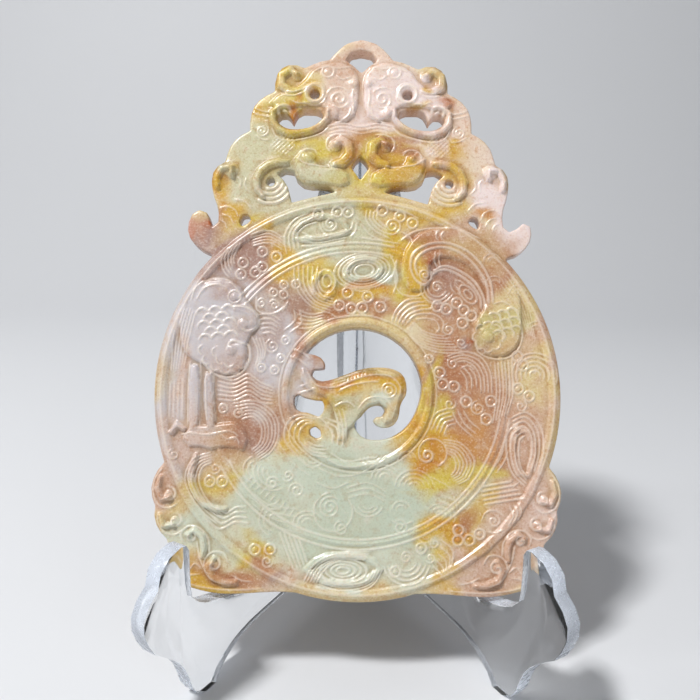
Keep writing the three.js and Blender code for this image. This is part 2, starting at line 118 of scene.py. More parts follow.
# %% [markdown]
# ## The plan of the jade
#
# A pierced plaque is sawn out before it is carved. The solid's own plan is used for that: the solid
# is cut at its middle plane, which gives the outline and every pierced gap as short straight runs.
# On a fine grid, each point then gets its distance to the nearest run, positive on the stone and
# negative in the air. A little softening of that distance turns the short runs into curves.

# %% The working grid
PITCH = 0.22  # mm between grid points
MARGIN = 4 * PITCH  # of air around the jade

low_u, low_v = solid.min((0, 1))[:2] - MARGIN
high_u, high_v = solid.max((0, 1))[:2] + MARGIN
U_LINE = np.arange(low_u, high_u, PITCH)
V_LINE = np.arange(low_v, high_v, PITCH)
U, V = np.meshgrid(U_LINE, V_LINE)


def blur(field, size):
    """A field averaged with a bell curve whose spread is size mm, along one axis, then the other."""
    reach = max(1, int(3 * size / PITCH))
    offsets = np.arange(-reach, reach + 1)
    weights = np.exp(-0.5 * (offsets * PITCH / size) ** 2)
    weights /= weights.sum()
    for axis in (0, 1):
        pad = [(reach, reach) if a == axis else (0, 0) for a in (0, 1)]
        wide = np.pad(field, pad, mode="edge")
        length = field.shape[axis]
        field = sum(w * np.take(wide, np.arange(o + reach, o + reach + length), axis)
                    for w, o in zip(weights, offsets))
    return field


def window(u_low, u_high, v_low, v_high, margin=0.0):
    """The part of the grid that covers a box, as two slices."""
    i0, i1 = np.searchsorted(V_LINE, (v_low - margin, v_high + margin))
    j0, j1 = np.searchsorted(U_LINE, (u_low - margin, u_high + margin))
    return slice(i0, i1), slice(j0, j1)


print("the grid has", len(V_LINE), "by", len(U_LINE), "points")

# %% The distance to the edge
NEAR = 2.5  # mm, beyond this the distance isn't needed
PLAN_SOFTENING = 0.22  # mm
INSET = 0.03  # mm, keeps the piece just inside the solid
NO_LENGTH = 1e-12  # a run shorter than a micrometre is a point


def plan_runs(triangles):
    """Where triangles cross the middle plane w = 0: two points for each."""
    w = triangles[:, :, 2]
    crossing = (w.min(1) < 0) & (w.max(1) > 0)
    cut = []
    for a, b in ((0, 1), (1, 2), (2, 0)):
        wa, wb = w[crossing, a], w[crossing, b]
        share = np.where(wa * wb < 0, wa / np.where(wa == wb, 1, wa - wb), np.nan)
        one, other = triangles[crossing, a, :2], triangles[crossing, b, :2]
        cut.append(one + (other - one) * share[:, None])
    cut = np.stack(cut, 1)
    order = np.argsort(np.isnan(cut[:, :, 0]), axis=1, kind="stable")
    return np.take_along_axis(cut, order[:, :, None], 1)[:, :2]


def edge_distance(runs):
    """Distance to the nearest run, positive where a line to the left crosses an odd number of runs."""
    distance = np.full(U.shape, NEAR)
    flips = np.zeros(U.shape, np.int32)
    for (u0, v0), (u1, v1) in runs:
        area = window(min(u0, u1), max(u0, u1), min(v0, v1), max(v0, v1), NEAR)
        du, dv = u1 - u0, v1 - v0
        along = ((U[area] - u0) * du + (V[area] - v0) * dv) / max(du * du + dv * dv, NO_LENGTH)
        along = np.clip(along, 0, 1)
        gap = np.hypot(U[area] - u0 - along * du, V[area] - v0 - along * dv)
        distance[area] = np.minimum(distance[area], gap)
        rows = np.arange(*np.searchsorted(V_LINE, (min(v0, v1), max(v0, v1))))
        if len(rows):
            at = u0 + (V_LINE[rows] - v0) / dv * du
            flips[rows, np.searchsorted(U_LINE, at)] += 1
    inside = np.cumsum(flips, axis=1) % 2 == 1
    return np.where(inside, distance, -distance)


edge = blur(edge_distance(plan_runs(solid)), PLAN_SOFTENING) - INSET
print("stone on", int((edge > 0).sum()), "of", edge.size, "grid points")

# %% [markdown]
# ## The big forms of the relief
#
# The beasts, heads, rims and curls already stand on the solid. Their heights are read from it, by
# laying each front triangle onto the grid, and the same for the back. Flat tops with a narrow
# chamfer look sawn, so the heights are softened twice: a little, which keeps the step at the edge,
# and widely, which rounds each form towards its middle as polishing does.

# %% Heights read from the solid
STEP_SOFTENING = 0.17  # mm
ROUND_SOFTENING = 1.3  # mm
ROUND_SHARE = 0.22
EDGE_ON = 1e-6  # a triangle seen edge-on covers no area


def surface_height(triangles, sign):
    """The height of the front (sign 1) or back (-1) over each grid point."""
    top = np.full(U.shape, GROUND)
    for corner in triangles:
        a, b, c = corner[:, :2]
        turn = (b[0] - a[0]) * (c[1] - a[1]) - (b[1] - a[1]) * (c[0] - a[0])
        if turn * sign <= EDGE_ON:
            continue
        low, high = corner.min(0), corner.max(0)
        area = window(low[0], high[0], low[1], high[1])
        u, v = U[area], V[area]
        p = ((b[0] - u) * (c[1] - v) - (b[1] - v) * (c[0] - u)) / turn
        q = ((c[0] - u) * (a[1] - v) - (c[1] - v) * (a[0] - u)) / turn
        r = 1 - p - q
        covered = (p >= -EDGE_ON) & (q >= -EDGE_ON) & (r >= -EDGE_ON)
        height = sign * (p * corner[0, 2] + q * corner[1, 2] + r * corner[2, 2])
        top[area] = np.where(covered, np.maximum(top[area], height), top[area])
    return top


def rounded_form(height):
    """A narrow blur, moved a share of the way towards a wide blur."""
    narrow = blur(height, STEP_SOFTENING)
    return narrow + ROUND_SHARE * (blur(height, ROUND_SOFTENING) - narrow)


front = rounded_form(surface_height(solid, 1))
back = rounded_form(surface_height(solid, -1))
print("front from", front.min().round(2), "to", front.max().round(2), "mm")

# %% [markdown]
# ## Tools for the fine carving
#
# The fine lines on the jade are raised threads: narrow wires of stone left standing between two
# scraped hollows. Each is a smooth curve through a few points, and bundles of them run side by side.
# Every curve is turned into closely spaced points, and each point raises the grid round it by a
# bell-shaped hump. The highest hump wins, so threads can cross without piling up.

# %% Curves and threads
THREAD = 0.19  # half width of a thread, mm
RISE = 0.24  # its height, mm
SPACING = 0.09  # between the points along it, mm
FADE_LENGTH = 0.8  # how long each end of a thread takes to reach full height, mm
FADE_FROM = 0.35  # the height it starts from, as a share

strokes = []


def curve(points):
    """A centripetal Catmull-Rom curve: each stretch between two points bends towards their neighbours."""
    p = np.asarray(points, float)
    if len(p) == 2:
        count = max(2, int(np.hypot(*(p[1] - p[0])) / SPACING))
        return p[0] + (p[1] - p[0]) * np.linspace(0, 1, count)[:, None]
    p = np.vstack([2 * p[0] - p[1], p, 2 * p[-1] - p[-2]])
    out = []
    for a, b, c, d in zip(p[:-3], p[1:-2], p[2:-1], p[3:]):
        ta = 0.0
        tb = ta + np.hypot(*(b - a)) ** 0.5
        tc = tb + np.hypot(*(c - b)) ** 0.5
        td = tc + np.hypot(*(d - c)) ** 0.5
        t = np.linspace(tb, tc, max(2, int(np.hypot(*(c - b)) / SPACING)), endpoint=False)[:, None]
        ab = ((tb - t) * a + (t - ta) * b) / (tb - ta)
        bc = ((tc - t) * b + (t - tb) * c) / (tc - tb)
        cd = ((td - t) * c + (t - tc) * d) / (td - tc)
        abc = ((tc - t) * ab + (t - ta) * bc) / (tc - ta)
        bcd = ((td - t) * bc + (t - tb) * cd) / (td - tb)
        out.append(((tc - t) * abc + (t - tb) * bcd) / (tc - tb))
    return np.vstack(out)


def thread(line, width=THREAD, rise=RISE, taper=True):
    """One raised line: a row (u, v, half width, height) for each point. Its ends fade out."""
    count = len(line)
    fade = np.ones(count)
    if taper:
        reach = max(1, min(int(FADE_LENGTH / SPACING), count // 3))
        growing = np.linspace(FADE_FROM, 1, reach)
        fade[:reach] = growing
        fade[-reach:] = growing[::-1]
    strokes.append(np.column_stack([line, np.full(count, width), rise * fade]))


print("a thread is", 2 * THREAD, "mm wide and", RISE, "mm high")

# %% Lines, bundles, arcs and scrolls
SCROLL_CLOSES = 0.86  # how much of its radius a scroll has lost at its centre


def lines(*many, mirror=False, **finish):
    """One thread through each row of points, and its mirror image where that is asked for."""
    for points in many:
        thread(curve(points), **finish)
        if mirror:
            thread(curve([(-u, v) for u, v in points]), **finish)


def bundle(count, first, last, **finish):
    """Threads side by side: each is a blend of two guide curves, a + (b - a) * share."""
    a, b = curve(first), curve(last)
    size = max(len(a), len(b))
    a, b = (np.column_stack([np.interp(np.linspace(0, 1, size), np.linspace(0, 1, len(c)), c[:, k])
                             for k in (0, 1)]) for c in (a, b))
    for share in np.linspace(0, 1, count):
        thread(a + (b - a) * share, **finish)


def arcs(u, v, radii, start=0, end=360, squash=1.0, tilt=0.0, **finish):
    """Concentric arcs: a circle of each radius, flattened by squash and turned by tilt."""
    for radius in radii:
        count = max(8, int(math.radians(abs(end - start)) * radius / SPACING))
        angle = np.radians(np.linspace(start, end, count))
        x, y = radius * np.cos(angle), radius * squash * np.sin(angle)
        c, s = math.cos(math.radians(tilt)), math.sin(math.radians(tilt))
        thread(np.column_stack([u + x * c - y * s, v + x * s + y * c]), taper=end - start < 355, **finish)


def spiral(u, v, radius, turns=1.75, start=0, hand=1, **finish):
    """A scroll: the radius shrinks evenly from its outer end to almost nothing at the centre."""
    share = np.linspace(0, 1, max(20, int(turns * math.pi * radius / SPACING)))
    angle = math.radians(start) + hand * 2 * math.pi * turns * share
    r = radius * (1 - SCROLL_CLOSES * share)
    thread(np.column_stack([u + r * np.cos(angle), v + r * np.sin(angle)]), **finish)


print("tools for lines ready")

# %% Balls, beads, scales and hatching
BOLD = {"width": 0.26, "rise": 0.3}  # a thread that stands out from its neighbours
FAINT = {"rise": 0.18}  # and one that lies back, as in the pale stone

balls = []


def ball(u, v, radius, rise=0.3):
    """A small dome, kept for later."""
    balls.append((u, v, radius, rise))


def beads(*places, radius=1.15):
    """At each place a ring with a small ball in it."""
    for u, v in places:
        arcs(u, v, [radius], width=0.22, rise=0.28)
        ball(u, v, radius * 0.52, 0.28)


def scales(u, v, across, up, size=1.55, tilt=0):
    """Overlapping scales inside an oval: rows of arcs, every other row shifted by half a scale.

    A scale is 1.85 sizes wide, and the rows are 0.95 of a size apart.
    """
    rows = int(up / (size * 0.8))
    for row in range(-rows, rows + 1):
        for column in range(-int(across / size) - 1, int(across / size) + 2):
            x = (column + 0.5 * (row % 2)) * size * 1.85
            y = row * size * 0.95
            if (x / across) ** 2 + (y / up) ** 2 < 1:
                c, s = math.cos(math.radians(tilt)), math.sin(math.radians(tilt))
                arcs(u + x * c - y * s, v + x * s + y * c, [size * 0.92], 5 + tilt, 175 + tilt,
                     width=0.23, rise=0.3)


def hatch(u, v, across, up, gap=0.75):
    """Fine crossed lines inside an oval."""
    for slope in (-1, 1):
        for offset in np.arange(-across - up, across + up, gap * math.sqrt(2)):
            run = np.linspace(-across, across, 80)
            x, y = run, slope * run + offset
            inside = (x / across) ** 2 + (y / up) ** 2 < 1
            if inside.sum() > 6:
                ends = np.flatnonzero(inside)[[0, -1]]
                thread(curve([(u + x[k], v + y[k]) for k in ends]), width=0.17, rise=0.15, taper=False)


print("tools for beads, scales and hatching ready")

# %% [markdown]
# ## The crest
#
# Two heads look away from each other, alike but mirrored: an eye ring with a long lid line, a horn
# curl, a scroll on the cheek, a band round the jaw. Below them are the breast scrolls, a patch of
# crossed hatching and the haunch curls.

# %% Carving of the crest
for side in (1, -1):
    arcs(side * 7.7, 73.9, [1.35], width=0.3)
    ball(side * 7.7, 73.9, 1.0, 0.3)
    arcs(side * 10.7, 68.8, [2.05], width=0.34, rise=0.36)
    ball(side * 14.9, 73.0, 1.2, 0.45)
    spiral(side * 5.0, 67.4, 2.3, 1.6, 200 if side > 0 else -20, side * 1)
    spiral(side * 17.9, 64.4, 1.7, 1.3, 180 if side > 0 else 0, -side, width=0.34, rise=0.3)
    spiral(side * 22.6, 59.9, 1.5, 1.8, 120 if side > 0 else 60, side)
    ball(side * 29.6, 50.6, 1.8, 0.5)
    ball(side * 5.9, 56.4, 1.3, 0.5)
    ball(side * 11.6, 53.6, 1.0 if side > 0 else 1.4, 0.45)
    arcs(side * 20.4, 47.9, [1.75, 2.9, 4.0, 5.1], 190 if side > 0 else 235, 305 if side > 0 else 350,
         width=0.34, rise=0.34)
    ball(side * 6.6, 64.2, 1.6, 0.5)
ball(1.6, 71.2, 1.0, 0.4)
ball(-1.6, 71.2, 1.0, 0.4)

lines(
    [(2.2, 75.4), (5, 74.8), (8, 75.2), (11, 74.1)],
    [(2.6, 72.6), (4.6, 72.2), (5.9, 73.2)],
    [(8.3, 69.2), (8.9, 70.7), (10.4, 71.3), (12.2, 70.5), (14, 69.4), (15.9, 68.9), (17.6, 69.1),
     (18.9, 70.2)],
    [(12.8, 69.3), (14.2, 68.5), (15.6, 68.1), (17.2, 68.2), (18.8, 68.8)],
    [(8, 68.4), (8.7, 66.7), (10.4, 66.1), (12.6, 66.4), (14.6, 66.4), (16.2, 67)],
    [(1.7, 70), (2, 68), (1.7, 65.9), (2, 63.8)],
    [(2.8, 69.2), (4.6, 70.2), (6.9, 69.8), (7.9, 68.6)],
    [(2.2, 65.5), (2.8, 63.6), (4.2, 62.5), (6, 62)],
    [(7.2, 61.1), (9, 59.5), (12.8, 58.2), (16.6, 57.6), (19.1, 58.3), (20.7, 60.9)],
    [(20.3, 64.2), (22.6, 64.6), (24.6, 65.3)],
    [(20.5, 63.2), (22.9, 63.6), (25, 64.3)],
    [(20.8, 57.7), (22.6, 57.9), (24.4, 58.9)],
    [(5.6, 51.6), (9, 51.6), (12.4, 52), (14.9, 53.6)],
    [(9.8, 54.6), (10.6, 55.5), (12.2, 55.7), (13.6, 54.8), (14.1, 53.2)],
    [(3.3, 59.2), (5.6, 59.3), (7.4, 58.2), (7.8, 56.4), (6.8, 54.9)],
    [(24.4, 41.3), (26.2, 43.2), (28.6, 43.6)],
    [(27.5, 39.5), (28.4, 41.2), (30.2, 41.9), (32, 41.4)],
    [(28.4, 37.8), (29.6, 39.6), (31.2, 40.1)],
    [(30, 36.6), (30.6, 38.2), (31.8, 38.8)],
    [(27.4, 46), (27.2, 48), (28, 49)],
    [(25.2, 45.4), (26.3, 46.9), (25.9, 48.8)],
    mirror=True,
)
bundle(3, [(-8, 61.2), (-4, 61.9), (0, 61.2), (4, 61.9), (8, 61.2)],
       [(-7.4, 59.4), (-4, 60.2), (0, 59.5), (4, 60.2), (7.4, 59.4)], **FAINT)
hatch(17.9, 56.6, 2.6, 2.6)
hatch(-17.6, 56.8, 2.6, 2.4)
for side in (1, -1):
    for turn in range(-78, 14, 9):
        around = math.radians(turn)
        reach = np.array([[2.0], [3.3]]) * (math.cos(around), math.sin(around)) + (11.6, 51.4)
        thread(reach * (side, 1), width=0.16, rise=0.16)
print("crest carved,", len(strokes), "threads so far")

# %% [markdown]
# ## The ring's top
#
# The ring is covered from edge to edge with coiling chi-dragons, reduced to loops, scrolls and
# beads. At the top, pale stone: two groups of nested loops, a scroll on each side, feathered arcs.

# %% Carving of the ring's top
bundle(4, [(-16.4, 31), (-16.8, 35.4), (-14.8, 38.9), (-11.4, 40.6)],
       [(-13.6, 32.6), (-14, 35.6), (-12.2, 37.6), (-9.4, 38.6)])
bundle(4, [(-13.2, 32.9), (-8.4, 33.3), (-3, 34.4)],
       [(-13.2, 36.2), (-9.6, 34.9), (-5, 36), (-2.4, 36.6)])
lines([(-9.2, 38.2), (-8.2, 36.2), (-6.2, 35.4), (-3.8, 35.8), (-2, 37), (-1.4, 38.8)],
      [(-0.6, 38.6), (-0.9, 36.6), (-2.2, 34.9)], [(-12.4, 38.2), (-10.6, 39.4), (-8, 40)],
      [(-11, 41.6), (-9.4, 40.8)])
spiral(-6.6, 38.1, 1.8, 2, 160)
beads((-9.4, 40.3), (-5.1, 40.9), (-2.6, 40.9), (5.1, 41.4), (9.2, 40.1), (12, 38.6))
bundle(4, [(1.6, 41.6), (1.5, 39.3), (3.2, 37), (7, 34.9)],
       [(4.3, 41.2), (3.9, 40), (4.9, 38.6), (6.4, 37.4)])
bundle(2, [(0.4, 38.2), (2.4, 35.8), (5.6, 34.4)], [(0, 35.2), (3.8, 34.6), (9.4, 33.8)])
spiral(7.5, 37.9, 2.1, 2, 200)
lines([(6.6, 41.8), (10, 41.2), (13.6, 39.6)], [(9.6, 36.6), (11.2, 35.6), (12, 34.2)])
arcs(1.2, 27.5, [2.2, 3.1, 4.0, 4.9, 5.8], squash=0.62, tilt=9)
arcs(1.2, 27.5, [6.8], 30, 330, squash=0.6, tilt=9)
arcs(-7.2, 25, [1.0, 1.9], squash=1.4, tilt=8)
bundle(6, [(-14.8, 28.6), (-14, 23.4), (-11, 19.6), (-6, 17.6)],
       [(-9.3, 28.4), (-9.6, 24.4), (-8.3, 21.9), (-5.4, 20.8)])
beads((-4.3, 19.5), (-1.6, 18.8), (0.8, 19), (4.9, 19.3), (2, 21.5), (-2.5, 22.4))
bundle(5, [(-13.6, 18.4), (-10.4, 17.4), (-7.4, 18)], [(-13.6, 14.2), (-10.4, 14.4), (-7.3, 15.6)])
lines([(6.4, 24.8), (7.6, 26.4), (8.2, 29)], [(6.8, 31.6), (8, 29), (8.6, 25.4), (7.6, 22)],
      [(-3.4, 24.4), (0, 23.6), (3.6, 24.2)], [(-2, 23.6), (0.4, 22.8), (2.6, 23.2)],
      [(-6.4, 17.8), (-4.6, 16.8), (-1, 17.3), (3, 17.2), (6.6, 16)])
print("ring's top carved,", len(strokes), "threads so far")

# %% [markdown]
# ## The ring's right side
#
# A large beast arches over the right of the ring, its crest a double cord that starts in a scroll.
# Under its jaw are pointed leaves and beads, then scales, and long drawn-out loops lower down.

# %% Carving of the ring's right side
lines([(9.2, 34.4), (12.2, 36.5), (16.6, 37.5), (22.6, 37.1), (27.5, 35.1)],
      [(8.5, 30.4), (8.1, 26.6), (8.4, 23.8), (9.9, 22.2), (13.2, 21.9), (15, 23)])
lines([(15.9, 27.9), (16.2, 26), (14.7, 24.4), (12.7, 25.4), (11.5, 28.4), (12.2, 31.4), (15.2, 33.5),
       (19.1, 34), (23.5, 32.6), (27, 29.6), (29.4, 25.1), (29.9, 20.2)],
      [(13.2, 26.2), (12.5, 28.9), (13.7, 31.2), (16.6, 32.7), (19.6, 32.9), (23, 31.5), (26.2, 28.6),
       (28.5, 24.6), (29, 20.2)], **BOLD)
lines([(16.2, 26.5), (17.6, 27.6), (19.6, 28), (22.5, 26.8), (25.3, 24.6), (27.2, 21.6), (27.4, 19.1)],
      [(16.4, 27.3), (19.1, 28.8), (22.5, 27.8), (26, 25.3), (28, 21.6), (28.2, 18.6)], **BOLD)
spiral(14.8, 26.6, 1.5, 1.6, -60, -1)
spiral(17.6, 24, 1.4, 1.5, 0, 1)
arcs(17.6, 24, [2.2, 3.0, 3.8], 165, 340)
arcs(24.5, 22.4, [0.7, 1.4], squash=1.8, tilt=40)
lines([(17.8, 37), (17.2, 35.4), (17.8, 34.2)], [(19.2, 36.8), (18.4, 35.6), (18.7, 34.4)],
      [(17.2, 31.9), (16.9, 30), (17.6, 28.4)], [(18.2, 32), (17.9, 30.2), (18.4, 28.6)],
      [(21.6, 25.6), (22.8, 25.4), (23.8, 24.6)], [(20.6, 25.2), (20.8, 23.6), (21.8, 22.6)],
      [(21.6, 24.4), (22.4, 23.2), (22.8, 21.8)])
beads((19.6, 19), (23.5, 18.8), (25.2, 17.6), (22, 20.4), (23.2, 15.9), (17.6, 19.6))
ball(26.4, 15.9, 1.2, 0.4)
spiral(20.1, 14.4, 1.5, 1.6, 90, 1)
spiral(23, 11.4, 1.3, 1.5, 0, -1)
bundle(4, [(7.4, 15.9), (8.3, 18.4), (10.8, 20.9), (14.2, 21.4)],
       [(9.6, 15.4), (11.3, 17.6), (14.4, 18.9), (16.6, 19)])
lines([(10.6, 15.4), (12.4, 17.4), (15.4, 18), (17.8, 17.4), (19, 15.8), (18.6, 13.4)],
      [(12.7, 16.6), (15.2, 16.9), (17.4, 16.2), (18, 14.4), (17.2, 13.6)])
bundle(7, [(10.4, 14.4), (13.4, 11), (17.8, 9.3), (23.8, 9.2)],
       [(12.2, 16.2), (14.2, 14.2), (17, 13.2), (19.4, 13)])
for turn in range(0, 360, 45):
    around = math.radians(turn)
    arcs(28.8 + 2.4 * math.cos(around), 12.8 + 2.4 * math.sin(around), [1.0], turn - 85, turn + 85)
ball(28.8, 12.8, 1.4, 0.5)
scales(32.6, 15.4, 3.8, 4.4, tilt=-30)
lines([(29.9, 20.2), (32.3, 20.7), (35.2, 18.3), (36.6, 13.9), (35.1, 9.4), (31.2, 7.9), (26.9, 9.3),
       (25.9, 12.2)])
spiral(21, 6.8, 1.3, 1.5, 90, 1)
bundle(4, [(19.6, 8.3), (23.5, 9.5), (27.3, 8.3), (29.3, 5), (29.7, 0.1)],
       [(22, 7.2), (23.8, 7.4), (25.8, 6.2), (27, 4), (27.3, 0.4)])
lines([(22.6, 5.6), (24, 3.4), (24.2, 0.6)], [(23.4, 6), (25, 4), (25.2, 0.9)],
      [(24.6, 6), (26, 4.2), (26.3, 1.4)],
      [(22.6, 5.6), (24.4, 6.4), (26, 5.4)])
bundle(6, [(30.3, 7.4), (30.7, 0.1), (29.8, -6.4)], [(34.1, 7.9), (34.3, 0.2), (32.9, -4.6)])
beads((18.1, 4.8), (18.8, 2.2), (21.3, 1.7), (24, -1.6), (29.5, -1.4), (28.4, -5.4), (35.5, 1.4),
      (37.9, -0.2), (35.4, 8.6), (36.6, 6.6))
beads((15.8, 7.8), radius=0.9)
spiral(20.4, -2.2, 1.4, 1.4, 60, -1)
spiral(26.6, -3, 1.7, 1.7, 90, 1)
spiral(36.1, -2.4, 1.4, 1.5, 90, -1)
arcs(39.2, 4.4, [1.1, 2.1, 3.1, 4.1, 5.0], -25, 205)
lines([(20.8, -3.6), (22.4, -6.6), (25.6, -9.4)], [(22, -3.4), (23.6, -6.4), (26.4, -8.8)],
      [(23.2, -3.2), (24.8, -5.8), (27, -7.6)], [(29.6, -16.4), (31.6, -13.4), (32.4, -9.6)],
      [(30.6, -17), (32.4, -14.4), (33.2, -12)], [(33.8, -20.4), (35.6, -18.8)])
bundle(5, [(15.6, -7.4), (17.2, -4.4), (20.4, -3)], [(19, -9), (20, -7), (21.8, -6.4)])
bundle(6, [(18.6, -9.9), (22.9, -10.8), (25.7, -14.6), (24.4, -18.3), (21.8, -19.8)],
       [(19.6, -12.8), (21, -13.6), (21.7, -15.4), (21.3, -17), (20.4, -17.8)])
spiral(15.4, -13.4, 1.6, 1.5, 200, 1, width=0.24, rise=0.3)
arcs(16.6, -12.9, [3.1], -70, 215)
bundle(4, [(35.6, -6.2), (33.2, -8.2), (32.7, -12), (34, -17.1), (37, -20.1)],
       [(37, -8.8), (35.8, -9.8), (35.4, -12.7), (35.9, -15.8), (37.4, -18)])
bundle(4, [(33.6, -5.2), (37.2, -3.8), (40.3, -6.8), (40.8, -12.2), (39.4, -17.4)],
       [(34.4, -7.6), (36.6, -6.8), (38, -8.6), (38.2, -12.4), (37.2, -16.4)])
bundle(5, [(26.8, -20.2), (33.9, -18.8)], [(27.7, -23.9), (36.8, -22.3)], width=0.24, rise=0.28)
spiral(29.9, -27.4, 1.4, 1.5, 90, -1)
lines([(27.2, -27.4), (28.2, -25.6), (30.2, -25.1), (32, -26.2)],
      [(28.4, -29.6), (30.2, -29.8), (32.2, -29)])
bundle(3, [(33.2, -24), (34, -26), (32.8, -28.6)], [(35.2, -23.6), (35.8, -25.4), (34.8, -27.6)])
beads((26.8, -30.2), (24.6, -31.5), (22.2, -29.4), (22.1, -31.6), radius=1.1)
bundle(5, [(33.2, 27.8), (37.6, 20.6), (39.4, 12.4)], [(31.4, 24.8), (35.2, 20), (37.8, 13.4)], rise=0.16)
for place in ((29.9, 29.6), (30.4, 24.4), (35.6, 22.4), (39.6, 14.4)):
    arcs(*place, [1.2, 2.1], 10, 180, **FAINT)
print("right side carved,", len(strokes), "threads so far")

# %% [markdown]
# ## The ring's left side
#
# A bird-like beast stands here on two straight legs: scaled breast, two white curls, a clawed foot.
# The skin of the stone is thickest here, so the carving is crisp and chalky. Loops and beads fill
# the ground between it and the hole.

# %% Carving of the ring's left side
lines([(-37.4, 20.1), (-36.2, 23.4), (-33.1, 25), (-29.4, 24.9), (-26.6, 22.1)],
      [(-36.2, 20.2), (-34.6, 22.8), (-31.6, 23.8), (-29.2, 23)],
      [(-34.9, 6.6), (-34.6, 0), (-34.6, -8)], [(-37.2, 6.4), (-37.4, 0), (-37.2, -8)],
      [(-33.6, 4), (-33.4, 0), (-33, -7)], [(-31.9, 4.6), (-31.8, 0), (-31, -7)],
      [(-38.9, -9.6), (-36.4, -9.2), (-33, -9.6), (-30.6, -9.2), (-28, -8.6)],
      [(-29.8, -9.4), (-28.4, -10.4), (-26.4, -10.2), (-25.6, -12)],
      [(-28.6, -8.6), (-27, -9), (-25.8, -10)])
scales(-31.4, 14.4, 4.4, 4.6, tilt=8)
for u, v, turn in ((-34.2, 9, 180), (-33.2, 7, 215), (-31.3, 5.6, 240), (-29.3, 4.9, 262),
                   (-27.3, 4.9, 285), (-25.8, 6.2, 320), (-31.2, 8.6, 190), (-30.2, 7, 225),
                   (-28.4, 6.4, 262)):
    arcs(u, v, [1.1], turn - 80, turn + 80)
arcs(-27.7, 21, [1.4])
lines([(-28.3, 18.9), (-25.1, 18.7), (-22.6, 17.1), (-22.3, 14.8), (-24.1, 13.4), (-26.3, 13.9)],
      [(-29.1, 9.3), (-28.1, 11.1), (-25.8, 10.7), (-24.4, 10.2), (-24.1, 7.1), (-26, 3.9), (-29.2, 3.1),
       (-32.4, 4.2), (-34.7, 6.9)], **BOLD)
ball(-27.7, 21, 0.9, 0.4)
ball(-25.7, 14.8, 1.2, 0.4)
ball(-28.2, 9, 1.1, 0.4)
beads((-26.1, 28.9), (-21.8, 31.5), (-18.6, 30.4), (-21.7, 28), (-26.5, 26.3), (-23.3, 26.8),
      radius=1.1)
beads((-16.8, 24), (-14.1, 24.2), (-19.1, 22.2), (-16.8, 21.8), (-17.1, 7.4), (-21.4, 5.3),
      (-18.4, 4.8), (-16.1, 11.5), (-26.2, -4.8), (-29.6, -3.8), radius=0.9)
spiral(-21.7, 19.7, 1.3, 1.5, 0, 1)
spiral(-18.8, 19.4, 1.3, 1.5, 180, -1)
spiral(-19, 10.1, 1.7, 1.7, 90, 1)
spiral(-40, -14, 1.3, 1.4, 90, 1)
bundle(5, [(-29.4, 32.6), (-31, 29.4), (-30.4, 27), (-29, 25.4)],
       [(-26.6, 33.6), (-28.2, 30.6), (-28.2, 28.4)])
bundle(5, [(-24.8, 35.2), (-20.4, 36.4), (-16.8, 34.6)], [(-24.2, 32.8), (-20.4, 33.6), (-17, 32)])
lines([(-22.9, 21.3), (-22.6, 18.2), (-19.4, 17.4), (-17, 18.6), (-15.6, 20.4)],
      [(-16, 19.5), (-17.2, 17.8)],
      [(-13.3, 18.6), (-12.8, 15.4), (-15.4, 13.1)], [(-14.5, 18.8), (-14.2, 16), (-16.6, 13.6)],
      [(-14.6, 9.6), (-12.4, 8.8), (-10.3, 7.2)], [(-15.4, 8), (-13, 7.2), (-11, 5.6)])
bundle(5, [(-22.6, 17.2), (-19.4, 17.2), (-16.9, 15.6)], [(-21.4, 12.9), (-19.6, 13.2), (-18.2, 12.6)])
bundle(6, [(-39.2, 19.2), (-41, 12), (-41.4, 4)], [(-36.2, 17.6), (-37.4, 12), (-38.6, 5)], **FAINT)
bundle(4, [(-41.4, 2), (-41.4, -6)], [(-38.6, 3), (-38.6, -6)], rise=0.16)
bundle(4, [(-23.6, 12.2), (-22.2, 8.6), (-22.8, 5)], [(-21.2, 12), (-20.6, 9), (-21.2, 6.6)])
bundle(6, [(-31, 3.2), (-27.4, 2.4), (-24.2, 3.8), (-21.6, 2.2), (-18.4, 0.8)],
       [(-30.8, -1.8), (-27, -2), (-24, -0.8), (-20.8, -2.4), (-18.2, -2.6)])
bundle(6, [(-27.8, -2.8), (-22, -2.2), (-17.9, -5.4), (-17.3, -9.8), (-18.6, -12.9), (-21.7, -15.2)],
       [(-25.6, -6.2), (-23, -5.6), (-21.2, -7.4), (-21, -10), (-21.6, -11.6), (-23, -12.8)])
bundle(5, [(-32, -13.4), (-35.8, -15), (-37.4, -18.8), (-36, -22.6), (-33.3, -26.2), (-30.1, -28.8)],
       [(-31.8, -15.6), (-33.6, -16.6), (-34.4, -19.2), (-33.4, -22.2), (-31.4, -24.6), (-28.6, -26.2)])
bundle(4, [(-32.8, -27.4), (-29.4, -29.8), (-26.2, -28.4), (-23, -28.6)],
       [(-30.4, -24.6), (-28.4, -26.4), (-26, -25.2), (-23.8, -25)])
beads((-32, -19.7), (-29.3, -19.7), radius=1.1)
spiral(-30.9, -16.9, 1.3, 1.5, 200, 1)
bundle(10, [(-22.6, -18.4), (-24.2, -20)], [(-13.4, -25.4), (-14.6, -27.2)], **FAINT)
spiral(-18.4, -20, 1.6, 1.6, 0, 1)
spiral(-14.9, -18.2, 1.4, 1.5, 180, 1)
arcs(-22, -17, [1.8, 2.8], 100, 260, rise=0.2)
print("left side carved,", len(strokes), "threads so far")

# %% [markdown]
# ## The ring's bottom and the flanges
#
# The bottom is the palest stone, and its carving shows as glints: nested ovals, short fans of arcs,
# scrolls and loops. Each corner flange carries five scrolls inside a border line.

